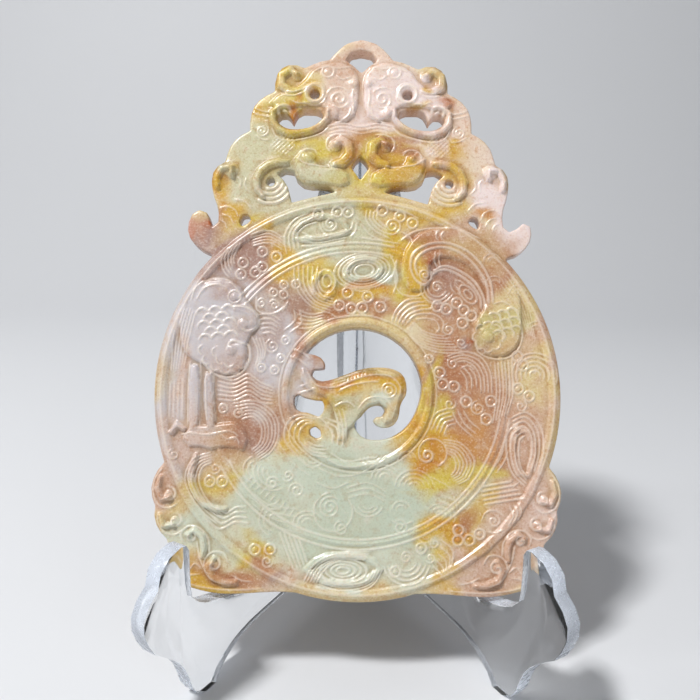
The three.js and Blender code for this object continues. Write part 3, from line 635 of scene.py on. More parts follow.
# %% Carving of the bottom and the flanges
arcs(-2.6, -38.3, [1.4, 2.6, 3.8, 5.0], squash=0.5)
bundle(5, [(-11.2, -40.8), (-8.6, -36.8), (-3.1, -34.5), (3.4, -34.2)],
       [(-8.4, -41), (-6.6, -38.2), (-2.9, -36), (2.4, -35.8)])
bundle(4, [(-8.6, -41.6), (-3, -43), (3.6, -41.4), (6, -37.6)],
       [(-7, -40.4), (-2.8, -41.2), (2.6, -40.2), (4, -37.8)])
bundle(5, [(-16.6, -30.2), (-15, -34.2), (-13, -38.9)], [(-12.6, -31), (-11.2, -34.6), (-10.4, -37)])
arcs(11, -36, [2.2, 3.2, 4.2, 5.1], 195, 350)
spiral(11, -35.4, 1.4, 1.6, 0, 1)
beads((-21.8, -34.1), (-18.5, -34), (8.6, -38.4), (14.2, -33.4), radius=1.1)
spiral(-19.1, -36.6, 1.3, 1.5, 0, -1)
spiral(17.1, -32.3, 1.2, 1.5, 90, 1)
spiral(16.2, -35.4, 1.2, 1.5, 180, 1)
bundle(5, [(18.4, -31.4), (21, -33.8), (20.6, -37.4)], [(16.8, -37.2), (18, -38.2), (18.8, -39)])
for u, v, radii, start, end, squash in (
        (12.6, -20.4, (1.2, 2.2, 3.2, 4.2), 5, 180, 0.9), (6.2, -18.6, (1.1, 2.0, 2.9), 30, 190, 1.0),
        (18.4, -26.6, (1.2, 2.2, 3.1), -30, 150, 0.9), (9.8, -25.4, (1.1, 2.0), 10, 180, 1.0),
        (2.6, -24.2, (1.2, 2.2, 3.2), 180, 350, 0.8), (-10.4, -28.4, (1.2, 2.2, 3.2), 20, 200, 0.8),
        (-17.6, -27.8, (1.3, 2.4, 3.4), 60, 260, 1.0),
        (-18.2, -17.6, (1.3, 2.3, 3.3, 4.3), 150, 300, 0.9),
        (-9.6, -14.6, (1.2, 2.2), 190, 340, 0.8), (3.4, -13.4, (1.2, 2.1, 3.0), 200, 350, 0.7),
        (11, -14.6, (1.1, 2.0), 0, 200, 1.0), (15.2, -30.4, (1.1, 2.0), 190, 330, 0.9)):
    arcs(u, v, radii, start, end, squash=squash, **FAINT)
spiral(-5.7, -25, 2.5, 2.2, 30, 1, rise=0.2)
spiral(-13, -21.4, 1.8, 1.7, 210, -1, rise=0.2)
bundle(4, [(-23.4, -21.6), (-18.8, -24.6), (-12.4, -25.4)],
       [(-22.6, -25.4), (-17.6, -29), (-13, -30.4)], rise=0.16)
bundle(3, [(-2.4, -20.8), (2.6, -19.6), (6.8, -21.6)],
       [(-1.8, -22.8), (2.8, -22), (6.4, -23.6)], rise=0.16)
lines([(-9, -19.6), (-5, -20.8), (-1.4, -19.4)], [(16.2, -18), (20.4, -20.6), (22, -25)], **FAINT)
spiral(9.6, -29, 1.7, 1.7, 150, -1, rise=0.2)
spiral(-3.2, -29.4, 1.7, 1.7, 60, 1, rise=0.2)
lines([(17.6, -21.9), (19.6, -22.3), (21.6, -23.2)], [(17.2, -23.2), (19.4, -23.6), (20.8, -24.4)],
      [(7.6, -27.6), (10, -28.4), (12.6, -27.6)], [(-5.7, -13.2), (-2.5, -14.9), (3.7, -14)],
      [(-6.4, -14.6), (-2.6, -16.2), (4.6, -15.2)], rise=0.2)
arcs(-5, -25.9, [4.2], 95, 405, rise=0.2)
lines([(-16, -10), (-13, -14), (-9, -17)], [(-17.4, -11), (-14, -15.4), (-10, -18.4)],
      [(-8.6, -16.4), (-4, -18.2), (0.6, -17.6), (4.4, -15.4)], **FAINT)

for side in (1, -1):
    for u, v, radius in ((40.8, -22.6, 1.7), (39.3, -28.2, 1.7), (35.8, -31.6, 1.3), (30.5, -37.4, 1.5),
                         (38.4, -34, 1.0)):
        spiral(side * u, v, radius, 1.1, 90, side, width=0.24, rise=0.28)
        ball(side * u, v, radius * 0.6, 0.35)
lines([(42.4, -16.9), (44, -19.4), (44.2, -22.4), (43, -24.8), (40.6, -25.5), (38.8, -24.4)],
      [(43, -26.2), (43, -28.4), (41.6, -30.6), (39.2, -31.2), (37.2, -30)],
      [(31.6, -35), (32, -31.8), (34, -29.6), (36.4, -29.4), (37.9, -31.1), (37.4, -33)],
      [(27.4, -37), (28.8, -34.9), (31.2, -34.9), (32.6, -36.6), (32.4, -38.6), (31, -40.4),
       (28.4, -41.2)],
      [(34.4, -32.4), (33.6, -36.1), (31.8, -39.4), (29.8, -41)],
      [(33, -38.4), (34.6, -37.2), (36, -38.6), (37.4, -38.4), (38.6, -37.4)],
      [(33.6, -39.4), (35.2, -39.6), (36.6, -40.2)], [(39.8, -32.8), (39.2, -35.6)],
      [(38.6, -39.4), (35.6, -41.4), (30, -42.5), (24.6, -42.6), (20, -42.2)],
      [(26.8, -39.4), (24.4, -40.6), (22, -40.8)], mirror=True)
print("bottom and flanges carved,", len(strokes), "threads so far")

# %% [markdown]
# ## The small dragon and the rims
#
# A small dragon crawls into the hole, its mane spread on the ring at the left. The rims are plain,
# each with one fine line, and a double line marks the cord ring where no large beast covers it.

# %% Carving of the small dragon and the rims
arcs(6.9, 0.6, [0.8, 1.6])
lines([(-11.4, 4.8), (-9, 1.6), (-5, 1.2), (-1, 2.8), (3, 4), (7, 3.8), (9.2, 1.8), (9.4, -0.8)],
      [(-4.4, 0.2), (-1.4, 1.6), (2, 2.4), (5, 2.6)],
      [(0, -3.8), (1.8, -1.6), (4.2, -0.8), (6.4, -1.4), (7.6, -3.2)],
      [(-5.4, -3.2), (-2.4, -2), (-0.2, -3.2)], [(-9.8, -4.6), (-7.2, -6.4), (-4.8, -10)])
bundle(7, [(-2.6, 2.2), (-3, 3.4)], [(1.8, 3.7), (1.7, 4.9)], width=0.2, rise=0.16)
bundle(3, [(-5, -4), (-4, -7.4), (-3.8, -10.6)], [(-3.2, -3.6), (-2.4, -7), (-2.4, -10.4)])
bundle(4, [(-13.6, -13.6), (-15.7, -11), (-16, -8.5), (-14.6, -5.8), (-11.6, -4.9), (-9.4, -5.6)],
       [(-11.2, -12.2), (-12.7, -10.4), (-12.5, -8.4), (-11.3, -7), (-9.6, -6.8)])
bundle(4, [(-12, -11.8), (-9.7, -13.6), (-6.1, -14.2)], [(-10.8, -10.8), (-9.2, -11.6), (-7, -11.8)])
bundle(3, [(-6.4, -5.8), (-3.3, -7.4), (-3.2, -12)], [(-7.2, -7), (-5.6, -8.4), (-5.4, -11.4)])
lines([(-13.4, -0.4), (-11, 0.4), (-9, 1)], [(-12.8, 1.2), (-10.8, 2)])

arcs(0, 0, [43.4], -27, 207, width=0.3, rise=0.2)
arcs(0, 0, [43.4], 233, 307, width=0.3, rise=0.2)
arcs(0, 0, [17.4], 0, 360, rise=0.2)
for start, end in ((76, 143), (208, 351)):
    arcs(0, 0, [31.8, 33.9], start, end, width=0.26)
print("carving done:", len(strokes), "threads and", len(balls), "balls")

# %% [markdown]
# ## Laying the carving on the relief
#
# All the thread points go onto the grid together. Beside each thread the ground is scraped a little
# lower, which makes the line stand out without raising it much. Balls are added as small domes.

# %% Threads and balls on the grid
HOLLOW = 0.1  # how deep the ground is scraped beside the threads, mm
HOLLOW_SPREAD = 0.55  # how far from a thread it is scraped, mm
HOLLOW_FULL = 0.06  # blurred thread height at which the hollow is at its deepest, mm
REACH = 3  # grid steps a thread reaches to each side

points = np.vstack(strokes)
column = np.rint((points[:, 0] - U_LINE[0]) / PITCH).astype(int)
row = np.rint((points[:, 1] - V_LINE[0]) / PITCH).astype(int)
raised = np.zeros(U.shape)
for i in range(-REACH, REACH + 1):
    for j in range(-REACH, REACH + 1):
        r, c = row + i, column + j
        ok = (r >= 0) & (r < len(V_LINE)) & (c >= 0) & (c < len(U_LINE))
        gap = np.hypot(U_LINE[c[ok]] - points[ok, 0], V_LINE[r[ok]] - points[ok, 1])
        hump = points[ok, 3] * np.exp(-(gap / points[ok, 2]) ** 2)
        np.maximum.at(raised, (r[ok], c[ok]), hump)

domes = np.zeros(U.shape)
for u, v, radius, rise in balls:
    area = window(u - radius, u + radius, v - radius, v + radius)
    gap = np.hypot(U[area] - u, V[area] - v) / radius
    domes[area] = np.maximum(domes[area], rise * np.sqrt(np.clip(1 - gap**2, 0, 1)))

scraped = HOLLOW * np.clip(blur(raised, HOLLOW_SPREAD) / HOLLOW_FULL, 0, 1)
relief = front + raised + domes - scraped
print("relief from", relief.min().round(2), "to", relief.max().round(2), "mm")

# %% [markdown]
# ## One closed skin for the jade
#
# The grid is cut along the line where the distance to the edge is zero. Cells that the line crosses
# are trimmed to it, so the outline is smooth, and a trimmed corner closer than a hair to a grid
# point uses that point. The back is the same net turned over, and a narrow wall joins the two. Each
# edge is rounded: near the edge the height follows a quarter circle.

# %% Trimming the net
HAIR = 0.06  # a cut nearer to a grid point than this share of a step uses the point itself


def trimmed_net(inside):
    """Grid triangles where inside > 0, with those on the border cut at zero.

    Returns (places on the grid as fractional steps, triangles).
    """
    rows, columns = inside.shape
    ids = np.arange(rows * columns).reshape(rows, columns)
    a, b, c, d = ids[:-1, :-1], ids[:-1, 1:], ids[1:, 1:], ids[1:, :-1]
    halves = ((a, b, c), (a, c, d))  # each square is cut along one diagonal
    triangles = np.concatenate([np.stack(corners, -1).reshape(-1, 3) for corners in halves])
    value = inside.ravel()
    kept = value[triangles] > 0
    count = kept.sum(1)
    whole = triangles[count == 3]
    place = np.column_stack([np.repeat(np.arange(rows), columns), np.tile(np.arange(columns), rows)])
    place = place.astype(float)

    def turned(chosen, wanted):
        """Triangles turned so that their odd corner comes first."""
        odd = np.argmax((value[chosen] > 0) == wanted, axis=1)
        return np.take_along_axis(chosen, (odd[:, None] + np.arange(3)) % 3, 1)

    one = turned(triangles[count == 1], True)
    two = turned(triangles[count == 2], False)
    cut_in = np.concatenate([one[:, 0], one[:, 0], two[:, 1], two[:, 2]])
    cut_out = np.concatenate([one[:, 1], one[:, 2], two[:, 0], two[:, 0]])
    key, back_to = np.unique(cut_in * (rows * columns) + cut_out, return_inverse=True)
    start, end = key // (rows * columns), key % (rows * columns)
    share = value[start] / (value[start] - value[end])
    new = place[start] + (place[end] - place[start]) * share[:, None]
    names = np.where(share < HAIR, start, rows * columns + np.arange(len(key)))[back_to]
    n1, n2 = len(one), len(two)
    p, q, r, s = names[:n1], names[n1:2 * n1], names[2 * n1:2 * n1 + n2], names[2 * n1 + n2:]
    net = np.concatenate([
        whole,
        np.column_stack([one[:, 0], p, q]),
        np.column_stack([r, two[:, 1], two[:, 2]]),
        np.column_stack([r, two[:, 2], s]),
    ])
    distinct = (net[:, 0] != net[:, 1]) & (net[:, 1] != net[:, 2]) & (net[:, 2] != net[:, 0])
    net = net[distinct]
    used, net = np.unique(net, return_inverse=True)
    return np.vstack([place, new])[used], net.reshape(-1, 3)


place, net = trimmed_net(edge)
print("the trimmed net has", len(place), "points and", len(net), "triangles")

# %% Front, back and wall
EDGE_ROUND = 0.4  # radius of the rounded edge, mm


def sample(field, place):
    """A grid field at fractional steps, by straight blending of the four grid points around."""
    i = np.clip(place[:, 0].astype(int), 0, field.shape[0] - 2)
    j = np.clip(place[:, 1].astype(int), 0, field.shape[1] - 2)
    y, x = place[:, 0] - i, place[:, 1] - j
    return ((1 - y) * ((1 - x) * field[i, j] + x * field[i, j + 1])
            + y * ((1 - x) * field[i + 1, j] + x * field[i + 1, j + 1]))


def rounded_edge(height, depth):
    """height - r + sqrt(r^2 - (r - depth)^2) within r of the edge."""
    near = EDGE_ROUND - np.clip(depth, 0, EDGE_ROUND)
    return height - EDGE_ROUND + np.sqrt(np.maximum(EDGE_ROUND**2 - near**2, 0))


depth = np.maximum(sample(edge, place), 0)
u = U_LINE[0] + place[:, 1] * PITCH
v = V_LINE[0] + place[:, 0] * PITCH
w_front = rounded_edge(sample(relief, place), depth)
w_back = -rounded_edge(sample(back, place), depth)
count = len(place)
sides = np.concatenate([net[:, [0, 1]], net[:, [1, 2]], net[:, [2, 0]]])
forward = sides[:, 0] * count + sides[:, 1]
backward = sides[:, 1] * count + sides[:, 0]
border = sides[~np.isin(forward, backward)]
wall = np.concatenate([
    np.column_stack([border[:, 0], border[:, 0] + count, border[:, 1] + count]),
    np.column_stack([border[:, 0], border[:, 1] + count, border[:, 1]]),
])
faces = np.concatenate([net, net[:, ::-1] + count, wall])
local = np.column_stack([np.tile(u, 2), np.tile(v, 2), np.concatenate([w_front, w_back])])
standing = (local @ AXES + CENTRE) * MM
print(len(faces), "triangles in the skin before thinning")

# %% [markdown]
# ## The jade's colours
#
# The stone is pale celadon with brown, honey and rose skin, and a chalky grey bloom on the left.
# Where each colour lies is a matter of big soft patches, so they are listed here as ovals with
# soft borders, pushed about by slow waves so that no border is an oval. Every point of the mesh gets
# the colour that its patches add up to. The fine grain comes later, in the material.

# %% The stone's palette


def from_display(red, green, blue):
    """A colour as a display shows it, 0 to 255, as the linear values that light adds up in.

    This is the standard curve: x / 12.92 in the dark, ((x + 0.055) / 1.055) ** 2.4 above.
    """
    share = np.array((red, green, blue)) / 255
    return np.where(share < 0.04045, share / 12.92, ((share + 0.055) / 1.055) ** 2.4)


ICE = from_display(190, 198, 178)
MILK = from_display(202, 207, 188)
CELADON = from_display(198, 196, 166)
SAGE = from_display(198, 188, 128)
LIME = from_display(206, 186, 84)
STRAW = from_display(212, 192, 142)
GOLD = from_display(206, 168, 62)
HONEY = from_display(196, 138, 56)
AMBER = from_display(180, 96, 28)
RUST = from_display(176, 124, 88)
TAN = from_display(184, 140, 108)
SAND = from_display(206, 176, 156)
MAUVE = from_display(168, 138, 128)
CHALK = from_display(198, 192, 194)
PEACH = from_display(222, 198, 180)
BONE = from_display(230, 214, 210)
OLIVE = from_display(166, 144, 84)
ROSE = from_display(190, 138, 120)

BACK_TINT = np.array((0.98, 0.80, 0.58))  # the back, and with it the pierced walls, is warmer
print("the palest colour is", BONE.round(2), "and the deepest", AMBER.round(2))

# %% Skin patches
# centre u, v, half width, half height, strength, colour; the later ones lie over the earlier
PATCHES = (
    (-30, 27, 15, 9, 1.0, MAUVE), (-34, 12, 16, 24, 1.0, CHALK), (-24, -4, 13, 14, 0.8, TAN),
    (-40, -10, 7, 14, 0.9, CHALK), (-19, 8, 6, 14, 0.9, CHALK), (-14, 21, 7, 8, 0.8, MAUVE),
    (-31, 5, 9, 12, 0.6, CHALK), (-26, 28, 9, 4, 0.7, TAN), (-20, 32, 7, 2.2, 0.8, RUST),
    (22, 28, 17, 12, 1.0, TAN), (21, 6, 11, 17, 1.0, TAN), (30, -8, 14, 16, 1.0, TAN),
    (38, -12, 8, 12, 0.9, SAND), (37, -26, 10, 12, 1.0, SAND), (28, -38, 13, 8, 1.0, SAND),
    (38, 22, 8, 14, 1.0, SAND), (41, 6, 6, 9, 0.9, SAND), (30, 22, 5, 9, 0.8, TAN),
    (35, 22, 5, 8, 0.9, STRAW), (33, 15, 4, 6, 0.8, SAGE), (40, 6, 3.4, 6, 0.9, STRAW),
    (21, 25, 5, 4, 0.7, MAUVE), (27, 12, 4, 4, 0.8, MAUVE), (16, 33, 7, 6, 0.8, RUST),
    (25, 33, 6, 5, 0.5, STRAW), (26, 36, 9, 3, 0.6, SAND), (-8, 37, 15, 7, 1.0, CELADON),
    (2, 28, 9, 9, 1.0, CELADON), (-20, 41, 8, 6, 0.8, CELADON), (0, -26, 27, 17, 1.0, ICE),
    (-2, -40, 17, 7, 1.0, MILK), (-20, -24, 13, 12, 1.0, MILK), (-36, -32, 8, 6, 0.8, MILK),
    (-4, -2, 7, 8, 1.0, CELADON), (2, -12, 14, 6, 0.9, MILK), (-18, -40, 10, 4, 0.6, SAND),
    (9.4, 31, 5.5, 9, 1.0, LIME), (11, 29, 3.4, 7.5, 0.9, GOLD), (9, 37, 4.4, 3.6, 0.9, LIME),
    (9.6, 36.6, 2.4, 2, 0.9, GOLD), (0.6, 42, 3.2, 2.6, 0.9, LIME), (12.6, 23.6, 5, 3, 0.9, GOLD),
    (14, 41.6, 10, 2.2, 0.7, GOLD), (-9, 28.6, 4.6, 2.4, 0.9, LIME), (-15, 30.4, 8, 2.4, 0.8, GOLD),
    (-5, 24, 2.4, 5, 0.7, LIME), (0, 21, 9, 3, 0.9, GOLD), (0.4, 22.6, 3.4, 2, 0.9, HONEY),
    (7, 22, 2.6, 4, 0.8, LIME), (0, 17, 12, 1.6, 0.7, RUST), (15.6, -1, 2.6, 13, 0.9, LIME),
    (16.6, -12.6, 6, 6.4, 1.0, GOLD), (17.6, -14, 4, 4.4, 0.9, HONEY), (20, -17.4, 7, 3.6, 0.9, LIME),
    (24, -9, 7, 8, 0.6, HONEY), (21, -16, 3.4, 3, 0.8, LIME), (27, -19, 4, 3, 0.7, LIME),
    (22, -32.4, 9.6, 3.6, 0.9, GOLD), (17, -33, 5, 2.4, 0.8, LIME), (27, -27, 3, 5, 0.6, GOLD),
    (18, -38.4, 5, 3, 0.8, GOLD), (-31.6, -19.6, 4, 4, 0.7, LIME), (-31, -20.6, 2.2, 2, 0.7, GOLD),
    (-23.4, -33.6, 3, 2.2, 0.8, LIME), (-22.4, -34.6, 1.8, 1.4, 0.8, GOLD), (-42, -20, 5, 7, 0.9, SAND),
    (-42, -28, 3.6, 5, 0.8, STRAW), (-34, -40, 11, 4, 0.9, STRAW), (-28, -41.6, 9, 3, 0.7, GOLD),
    (-24, -38.2, 6, 2.2, 0.8, TAN), (0, -44.4, 18, 1.6, 0.7, STRAW), (-12, -9, 5, 4, 0.7, GOLD),
    (-8, -12, 5, 2.4, 0.6, STRAW), (-1, 3.6, 9, 2.4, 1.0, GOLD), (3, 5.2, 8, 1.6, 0.9, HONEY),
    (9.6, 1.6, 2, 4, 1.0, GOLD), (-9.8, 0.6, 5, 2.4, 0.9, GOLD), (-10, 5, 4, 3.4, 0.9, RUST),
    (-13.6, 6.8, 3.4, 3, 0.9, CHALK), (-4.6, -2.4, 2, 5, 0.6, LIME), (-8, 52, 16, 9, 1.0, SAGE),
    (-24, 58, 11, 11, 1.0, SAGE), (-20, 46, 9, 7, 0.9, CELADON), (-12, 51, 5, 4, 0.8, CELADON),
    (-28, 50, 6, 7, 0.6, CELADON), (22, 58, 12, 14, 1.0, PEACH), (30, 45, 8, 13, 1.0, BONE),
    (0, 62, 10, 12, 0.9, PEACH), (8, 70, 13, 9, 1.0, BONE), (0, 78, 9, 6, 0.9, PEACH),
    (16, 66, 6, 7, 0.7, BONE), (4, 56, 8, 6, 0.8, GOLD), (6, 50, 9, 4, 0.9, GOLD),
    (1, 56.6, 5, 5, 0.6, RUST), (10, 50.4, 5, 3, 0.7, RUST), (18, 53, 8, 3, 0.7, GOLD),
    (25, 55, 5, 5, 0.5, STRAW), (-12, 71, 10, 8, 0.9, STRAW), (-19, 73, 4, 5, 0.9, GOLD),
    (-11, 66.4, 6, 2.6, 0.5, GOLD), (-17, 63.4, 6, 4, 0.9, LIME), (-18, 63, 3, 2.6, 0.9, AMBER),
    (-25, 65, 3, 8, 0.9, GOLD), (-4, 71, 5, 7, 0.8, PEACH), (-9.6, 57.6, 3, 4, 0.9, LIME),
    (-5, 54, 5, 4, 0.8, GOLD), (-29, 56, 3, 5, 0.8, GOLD), (-33.4, 46, 2.6, 9, 0.9, HONEY),
    (-29, 41, 6, 4, 0.8, GOLD), (-37, 37, 5.4, 7, 1.0, MAUVE), (-36.5, 41, 2.4, 1.6, 0.9, AMBER),
    (-33, 34, 4, 3, 0.8, RUST), (36, 36, 6, 6, 0.9, BONE), (30, 36, 5, 3, 0.8, STRAW),
    (27, 40, 4, 3, 0.8, HONEY), (19, 42.6, 6, 2.6, 0.5, GOLD), (17.8, 27, 2, 1.4, 0.8, AMBER),
    (28.6, 12.8, 1.5, 1.1, 0.9, AMBER), (16.8, 72, 5, 5, 1.0, BONE), (17.4, 71, 1.6, 1.6, 0.7, GOLD),
    (23, 60, 4, 7, 0.8, PEACH), (14, 58, 6, 2.4, 0.8, BONE), (17, 56, 3, 3, 0.7, SAND),
    (21, 55, 3, 2.4, 0.8, GOLD), (5, 55, 4, 3.4, 0.9, LIME), (9, 54, 3, 2.4, 0.8, RUST),
    (10, 49.6, 4, 2, 0.9, GOLD), (4, 47.6, 4, 2, 0.9, LIME), (12.2, 53.4, 1.8, 1.8, 0.7, PEACH),
    (8, 57.6, 4, 1.4, 0.7, RUST), (13, 66.4, 4, 1.4, 0.7, GOLD), (-16, 72, 3, 3, 0.8, LIME),
    (-10, 60, 5, 1.6, 0.8, LIME), (-17, 60, 4, 1.4, 0.8, LIME), (-6, 75, 5, 2.6, 0.7, PEACH),
    (-8, 74, 3, 2, 0.5, RUST), (-29, 58, 3, 4, 0.8, GOLD), (-27, 48, 4, 5, 0.7, CELADON),
    (-18, 49, 6, 4, 0.8, CELADON), (-33.4, 48, 2.4, 4, 0.8, GOLD), (22, -31, 7, 3.4, 1.0, GOLD),
    (25, -29, 3, 2.4, 0.8, RUST), (-30, 30, 10, 5, 0.8, MAUVE), (-21, -8, 5, 7, 0.9, MAUVE),
    (20, 3, 5, 8, 0.8, RUST), (19, 13, 5, 4, 0.6, RUST), (2, 4.6, 9, 1.6, 1.0, HONEY),
    (9.4, 3, 2, 2.4, 0.9, GOLD), (-1, 0.4, 4, 2, 0.7, CELADON), (6, -3.6, 3.6, 2.4, 0.9, MILK),
    (-22, 14, 4, 8, 0.5, MAUVE), (-40, 4, 3, 12, 0.6, SAND), (-4, 33, 14, 1.6, 0.5, MILK),
    (-24.6, 37, 6, 2.2, 0.9, LIME), (-20, 35.6, 3, 1.6, 0.8, GOLD), (22, -32, 6, 2.6, 1.0, HONEY),
    (18, -33, 4, 3, 0.8, GOLD), (-26, -22, 7, 4, 0.8, MILK), (-24, -27, 6, 4, 0.7, MILK),
    (-20, -24, 9, 6, 0.8, ICE), (35, 36, 5, 5, 0.8, BONE), (-8, 51, 8, 4, 0.2, LIME),
    (-24, 56, 5, 6, 0.7, CELADON), (1.5, 6.2, 8, 1.9, 1.0, OLIVE), (-4, -1, 5, 2.6, 0.5, OLIVE),
    (0, 64, 5, 5, 0.7, BONE), (-30, 28, 9, 6, 0.8, MAUVE), (-22, -6, 6, 6, 0.5, RUST),
    (1, 27, 7, 4, 0.7, ICE), (-14, 11, 3, 6, 0.7, RUST), (-2, 16.6, 9, 1.6, 0.6, RUST),
    # the PEACH patch at (-12, 65.6) is a painted highlight on the lower lip of the left jaw
    (-40, 37, 4, 6, 1.0, ROSE), (-12, 65.6, 3.4, 1.2, 0.7, PEACH), (27, 48, 5, 6, 0.6, BONE),
    (40, -26, 6, 8, 0.5, BONE), (35, 36, 6, 6, 1.0, BONE), (-18, 62.6, 3, 2.4, 0.9, HONEY),
    (-10.6, 68, 3, 3, 0.7, GOLD), (-4, 74, 5, 4, 0.7, SAND), (-3, 66, 4, 4, 0.5, SAND),
    (-2.4, 53, 2.4, 3, 0.8, HONEY), (-6, 56, 3, 3, 0.6, LIME), (-28, 60, 2.4, 4, 0.7, GOLD),
    (-33, -30, 7, 5, 0.9, MILK), (-29, -34, 5, 2.6, 0.8, MILK), (-34, -40, 8, 3.2, 0.9, GOLD),
    (-31, -38, 5, 1.4, 0.6, RUST), (-24, -37, 3.6, 1.6, 0.7, RUST), (-18, -39.6, 4, 1.3, 0.6, MAUVE),
    (-38, -11, 6, 5, 0.6, SAND), (21, 66, 2.4, 2.4, 0.6, AMBER), (16, 70.6, 1.6, 1.2, 0.6, GOLD),
    (11, 65.6, 3, 1, 0.6, HONEY),
)
# along u, along v (radians a mm), start; the longer a wave, the further it pushes
WAVES = ((0.21, 0.13, 0.4), (0.34, -0.27, 2.1), (-0.57, 0.44, 4.4), (0.9, 0.78, 1.3), (-1.3, 1.1, 5.2))
WAVE_PUSH = 0.55
PATCH_END = 1.22  # where a patch has faded out, in shares of its half width
PATCH_FALL = 1.4  # how fast it fades


def skin_colour(u, v):
    """The patch colours at each point, laid on one after another.

    A patch weighs w = strength times fall * (end - distance) held between 0 and 1, and w is smoothed
    by w * w * (3 - 2 * w). The colour there is moved that share of the way to the patch's colour.
    """
    push_u, push_v = np.zeros_like(u), np.zeros_like(u)
    for a, b, start in WAVES:
        size = WAVE_PUSH / math.hypot(a, b)
        push_u += size * np.sin(a * u + b * v + start)
        push_v += size * np.sin(a * v - b * u + 1.7 * start)
    x, y = u + push_u, v + push_v
    colour = np.tile(STRAW, (len(u), 1))
    for cu, cv, half_u, half_v, strength, tint in PATCHES:
        far = np.sqrt(((x - cu) / half_u) ** 2 + ((y - cv) / half_v) ** 2)
        weight = strength * np.clip(PATCH_FALL * (PATCH_END - far), 0, 1)
        weight = weight * weight * (3 - 2 * weight)
        colour += (tint - colour) * weight[:, None]
    return colour


skin = skin_colour(local[:, 0], local[:, 1])
skin[count:] *= BACK_TINT
print(len(PATCHES), "patches laid on, mean skin colour", skin.mean(0).round(3))

# %% The jade's mesh
MOST_LINE = 1.3  # the line mask may pass 1 on the boldest threads
HOLLOW_WIDTH, HOLLOW_DEPTH = 0.9, 0.25  # a full hollow lies this far below its surroundings, mm
LEAST_WARMTH = 0.12


def add_attribute(mesh, name, values):
    """Stores one number a point as a named attribute for the material to read."""
    attribute = mesh.attributes.new(name, "FLOAT", "POINT")
    attribute.data.foreach_set("value", values.astype(np.float32))


def mesh_from(name, vertices, triangles):
    """A new object whose mesh has these vertices and triangles."""
    mesh = bpy.data.meshes.new(name)
    mesh.vertices.add(len(vertices))
    mesh.vertices.foreach_set("co", vertices.astype(np.float32).ravel())
    mesh.loops.add(triangles.size)
    mesh.loops.foreach_set("vertex_index", triangles.astype(np.int32).ravel())
    mesh.polygons.add(len(triangles))
    mesh.polygons.foreach_set("loop_start", np.arange(0, triangles.size, 3, dtype=np.int32))
    mesh.update(calc_edges=True)
    item = bpy.data.objects.new(name, mesh)
    bpy.context.scene.collection.objects.link(item)
    return item


jade = mesh_from("jade_carving", standing, faces)
# line: how high a thread stands, which the material lightens as a painted highlight; hollow: how far a
# point lies below its blurred surroundings, which the material darkens as painted shade and patina
line_mask = np.clip(sample(raised / RISE, place), 0, MOST_LINE)
hollow = sample(np.clip((blur(relief, HOLLOW_WIDTH) - relief) / HOLLOW_DEPTH, -1, 1), place)
plain_back = np.zeros(count)
add_attribute(jade.data, "line", np.concatenate([line_mask, plain_back]))
add_attribute(jade.data, "hollow", np.concatenate([hollow, plain_back]))
red, blue = skin[:, 0], skin[:, 2]
warmth = np.clip((red - 0.92 * blue) / red * 2.6, LEAST_WARMTH, 1)  # 1 in brown skin, low in pale stone
add_attribute(jade.data, "warmth", warmth)
skin_attribute = jade.data.attributes.new("skin", "FLOAT_COLOR", "POINT")
skin_rgba = np.column_stack([skin, np.ones(len(skin))]).astype(np.float32)
skin_attribute.data.foreach_set("color", skin_rgba.ravel())
print("the mesh has", len(jade.data.vertices), "points and", len(jade.data.attributes), "attributes")

# %% [markdown]
# ## Thinning the skin
#
# The even net spends as many triangles on plain stone as on the carving. Decimate takes away those
# that change the shape least, mostly on the plain back and the walls, and keeps the carved front.

# %% Thinning
MOST_TRIANGLES = 190000


def applied(item):
    """Makes the modifiers of an object part of its mesh."""
    graph = bpy.context.evaluated_depsgraph_get()
    mesh = bpy.data.meshes.new_from_object(item.evaluated_get(graph), depsgraph=graph)
    item.modifiers.clear()
    item.data = mesh
    return item


thin = jade.modifiers.new("thin", "DECIMATE")
thin.ratio = min(1.0, MOST_TRIANGLES / len(faces))
applied(jade)
jade.data.shade_smooth()
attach(jade, "root")
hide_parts("jade_disc")
print("the jade now has", len(jade.data.polygons), "triangles")

# %% [markdown]
# ## The jade's material
#
# Jade is dense and waxy: light goes in a little way, and the polish is soft. The patches give the
# colour. Four noises, from broad clouds to fine grain, mottle the warm skin and leave the pale stone
# nearly plain. The hollows are darker, painted shade mixed with the patina held there, and the
# raised threads are lighter, a painted highlight where their tops catch the light. Roughness follows
# the veins.

# %% Helpers for materials


def new_material(name):
    """A material with its nodes, its links and its Principled shader."""
    material = bpy.data.materials.new(name)
    material.use_nodes = True
    nodes = material.node_tree.nodes
    return material, nodes, material.node_tree.links, nodes["Principled BSDF"]


def noise(nodes, links, coordinates, scale, detail=3.0, roughness=0.6):
    """A noise texture; scale is in lumps a metre."""
    node = nodes.new("ShaderNodeTexNoise")
    node.inputs["Scale"].default_value = scale
    node.inputs["Detail"].default_value = detail
    node.inputs["Roughness"].default_value = roughness
    links.new(coordinates, node.inputs["Vector"])
    return node.outputs["Fac"]


def ramp(nodes, links, value, low, high, to_low=0.0, to_high=1.0):
    """A number from low to high becomes one from to_low to to_high, held at both ends."""
    node = nodes.new("ShaderNodeMapRange")
    for name, number in (("From Min", low), ("From Max", high), ("To Min", to_low), ("To Max", to_high)):
        node.inputs[name].default_value = number
    links.new(value, node.inputs["Value"])
    return node.outputs["Result"]


def mixed(nodes, links, share, one, other, blend="MIX"):
    """Two colours mixed. Each is a socket or a plain colour."""
    node = nodes.new("ShaderNodeMix")
    node.data_type = "RGBA"
    node.blend_type = blend
    for socket, value in ((node.inputs[0], share), (node.inputs[6], one), (node.inputs[7], other)):
        if isinstance(value, (int, float)):
            socket.default_value = value
        elif isinstance(value, tuple):
            socket.default_value = (*value, 1.0)
        else:
            links.new(value, socket)
    return node.outputs[2]


